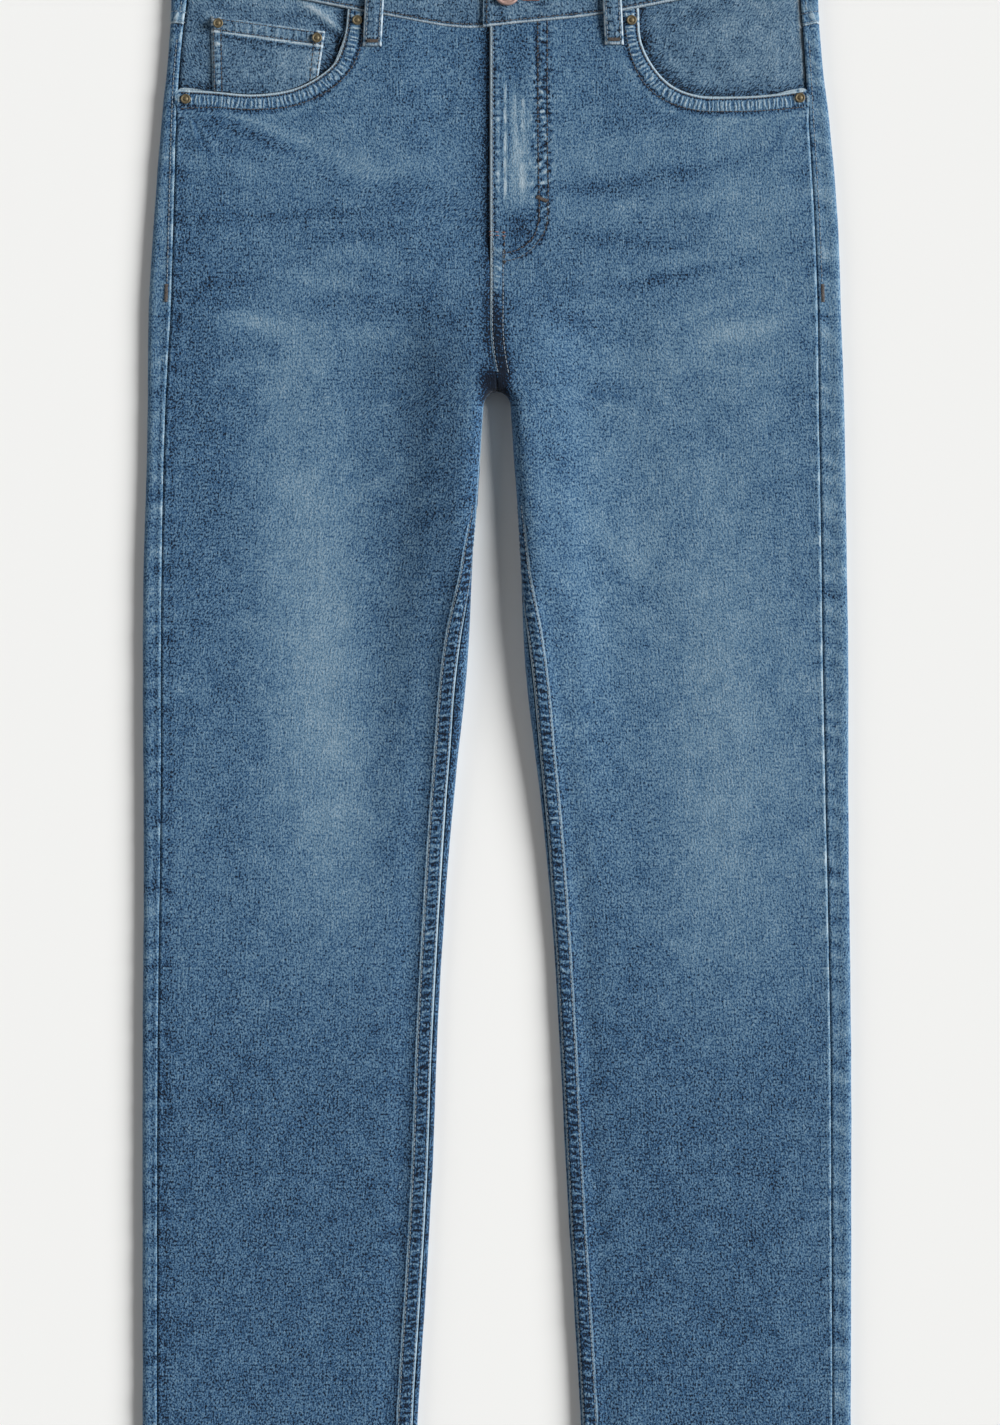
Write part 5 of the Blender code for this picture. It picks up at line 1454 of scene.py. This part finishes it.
# Fly bars and buttonhole: orange thread over the foot of the fly, brown over its curved rows, and a keyhole
# worked round the button's shank in the waistband.
FLY_BARS = (
    ("orange", (-4.4, 351.4), (4.4, 350.8)), ("orange", (-4.2, 349.0), (4.6, 348.4)),
    ("brown", (4.6, 350.8), (4.8, 343.0)), ("brown", (5.0, 338.6), (5.2, 331.0)),
)
CURVE_BAR = ((26.4, 374.4), (33.2, 371.6))
KEYHOLE_START, KEYHOLE_END, KEYHOLE_Y, KEYHOLE_HALF = 17.0, 27.0, 507.4, 1.5
for shade, *ends in FLY_BARS:
    ROWS[shade].append(over(straight_path(np.array(ends), 0.5), "cloth_front_left", lift=0.25))
BARS["brown"].append(over(straight_path(np.array(CURVE_BAR), 0.5), "cloth_front_left", lift=0.2))
along_x, end_ys = np.arange(KEYHOLE_START, KEYHOLE_END, 0.8), KEYHOLE_Y + np.arange(-2.2, 2.3, 0.4)
keyhole = [(x, KEYHOLE_Y + way * KEYHOLE_HALF) for way in (-1, 1) for x in along_x[::way]]
BARS["orange"].append(over(keyhole, "cloth_waistband", lift=0.15))
BARS["orange"].append(over([(KEYHOLE_END, y) for y in end_ys], "cloth_waistband"))

for shade, colour in THREADS.items():
    cotton = thread(f"{shade} thread", colour)
    sew(f"stitches_{shade}", ROWS[shade], STITCH_LENGTH, STITCH_SIZES, cotton)
    if shade in BARS:
        sew(f"bars_{shade}", BARS[shade], BAR_PITCH, BAR_SIZES, cotton)

# Shank button and rivets: the button is stamped copper with a raised rim and rings, and the rivets are small
# brass caps hammered through the denim at the ends of the pocket mouths and of the coin pocket's hem.
# Profiles from the foot of the edge to the middle: radius, height.
BUTTON_PROFILE = (
    (8.6, 0.0), (8.6, 0.9), (8.3, 1.5), (7.7, 1.9), (7.0, 1.85), (6.5, 1.45), (6.1, 1.3), (5.7, 1.5),
    (5.3, 1.8), (4.9, 1.75), (4.5, 1.4), (4.1, 1.3), (3.6, 1.35), (3.1, 1.65), (2.6, 1.7), (2.2, 1.4),
    (1.6, 1.25), (0.8, 1.3),
)
RIVET_PROFILE = (
    (3.3, 0.0), (3.35, 0.3), (3.2, 0.65), (2.85, 0.85), (2.5, 0.75), (2.15, 0.5), (1.8, 0.45), (1.4, 0.55),
    (1.1, 0.95), (0.8, 1.15), (0.4, 1.2),
)
RIVETS = (
    "mouth_right_inner", "mouth_right_outer", "mouth_left_inner", "mouth_left_outer", "coin_outer",
    "coin_inner",
)


def metal(name, dull, bright, rough):
    """Old metal, dark in its hollows and rubbed bright on its rims."""
    made, tree, shader = material(name, {"Metallic": 0.7})
    place = node(tree, "ShaderNodeTexCoord").outputs["Object"]
    tarnish = node(tree, "ShaderNodeTexNoise", {"Vector": place, "Scale": 700.0, "Detail": 3.0}).outputs[0]
    rims = node(tree, "ShaderNodeNewGeometry").outputs["Pointiness"]
    shine = node(tree, "ShaderNodeMath", {0: tarnish, 1: 0.4, 2: rims}, operation="MULTIPLY_ADD").outputs[0]
    roughness = node(
        tree, "ShaderNodeMapRange", {"Value": tarnish, "To Min": rough, "To Max": rough + 0.3}
    )
    tree.links.new(colour_ramp(tree, shine, ((0.38, dull), (0.66, bright))), shader["Base Color"])
    tree.links.new(roughness.outputs[0], shader["Roughness"])
    return made


COPPER = metal("tarnished copper", (0.13, 0.075, 0.065), (0.60, 0.42, 0.37), 0.38)
BRASS = metal("antique brass", (0.022, 0.019, 0.013), (0.17, 0.14, 0.085), 0.48)


def turned_metal(name, solid, profile, colour, segments=40):
    """A stamped piece turned from its profile, standing where its solid does."""
    low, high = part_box(solid)
    centre = (np.array(low) + np.array(high)) / 2

    def at(radius, height, n=0):
        angle = 2 * math.pi * n / segments
        across, up = radius * MM * math.cos(angle), radius * MM * math.sin(angle)
        return centre[0] + across, centre[1] + up, low[2] + height * MM

    rings = [at(*place, n) for place in profile for n in range(segments)]
    points = [at(0, 0), *rings, at(0, profile[-1][1])]
    last = 1 + (len(profile) - 1) * segments
    turns = [(n, (n + 1) % segments) for n in range(segments)]
    faces = []
    for a in range(1, last, segments):
        faces += [(a + n, a + m, a + segments + m, a + segments + n) for n, m in turns]
    for n, m in turns:
        faces += [(0, 1 + m, 1 + n), (len(points) - 1, last + n, last + m)]
    mesh = bpy.data.meshes.new(name)
    mesh.from_pydata(points, [], faces)
    mesh.materials.append(colour)
    mesh.shade_smooth()
    mesh.set_sharp_from_angle(angle=math.radians(50))
    piece = in_scene(name, mesh)
    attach(piece, "root")
    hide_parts(solid)


turned_metal("shank_button", "button", BUTTON_PROFILE, COPPER, 64)
for place in RIVETS:
    turned_metal(f"brass_rivet_{place}", f"rivet_{place}", RIVET_PROFILE, BRASS)

# The floor is a plain pale surface, lit by a broad soft light from the wearer's left, a weak reflector
# opposite it and a dim even sky. The camera looks straight down on the jeans from above.
floor_mesh = bpy.data.meshes.new("floor")
floor_mesh.from_pydata([(-15, -15, 0), (15, -15, 0), (15, 15, 0), (-15, 15, 0)], [], [(0, 1, 2, 3)])
floor = in_scene("floor", floor_mesh)
PAPER = {"Base Color": (0.90, 0.90, 0.885, 1), "Roughness": 1.0, "Specular IOR Level": 0.0}
floor_mesh.materials.append(material("pale paper", PAPER)[0])

# Each light: its side, height and spread in degrees, and strength.
LIGHTS = (("window", LEFT, 26, 28, 5.6), ("reflector", RIGHT, 22, 40, 0.9))
for name, side, height, spread, strength in LIGHTS:
    lamp = bpy.data.lights.new(name, "SUN")
    lamp.energy = strength
    lamp.angle = math.radians(spread)
    direction = Vector((side * math.cos(math.radians(height)), 0.12, math.sin(math.radians(height))))
    in_scene(name, lamp).rotation_euler = direction.to_track_quat("Z", "Y").to_euler()
world = bpy.data.worlds.new("room")
world.use_nodes = True
world.node_tree.nodes["Background"].inputs["Color"].default_value = (1.0, 1.0, 1.0, 1)
world.node_tree.nodes["Background"].inputs["Strength"].default_value = 0.105
bpy.context.scene.world = world

CAMERA_HEIGHT, VIEW_HEIGHT, SENSOR_HEIGHT = 2.6, 0.950, 24.0
camera_data = bpy.data.cameras.new("camera")
camera_data.sensor_fit = "VERTICAL"
camera_data.sensor_height = SENSOR_HEIGHT
camera_data.lens = SENSOR_HEIGHT * CAMERA_HEIGHT / VIEW_HEIGHT
camera = in_scene("camera", camera_data)
camera.location = (0.002, 0.0317, CAMERA_HEIGHT)
bpy.context.scene.camera = camera
bpy.context.scene.view_settings.view_transform = "Standard"
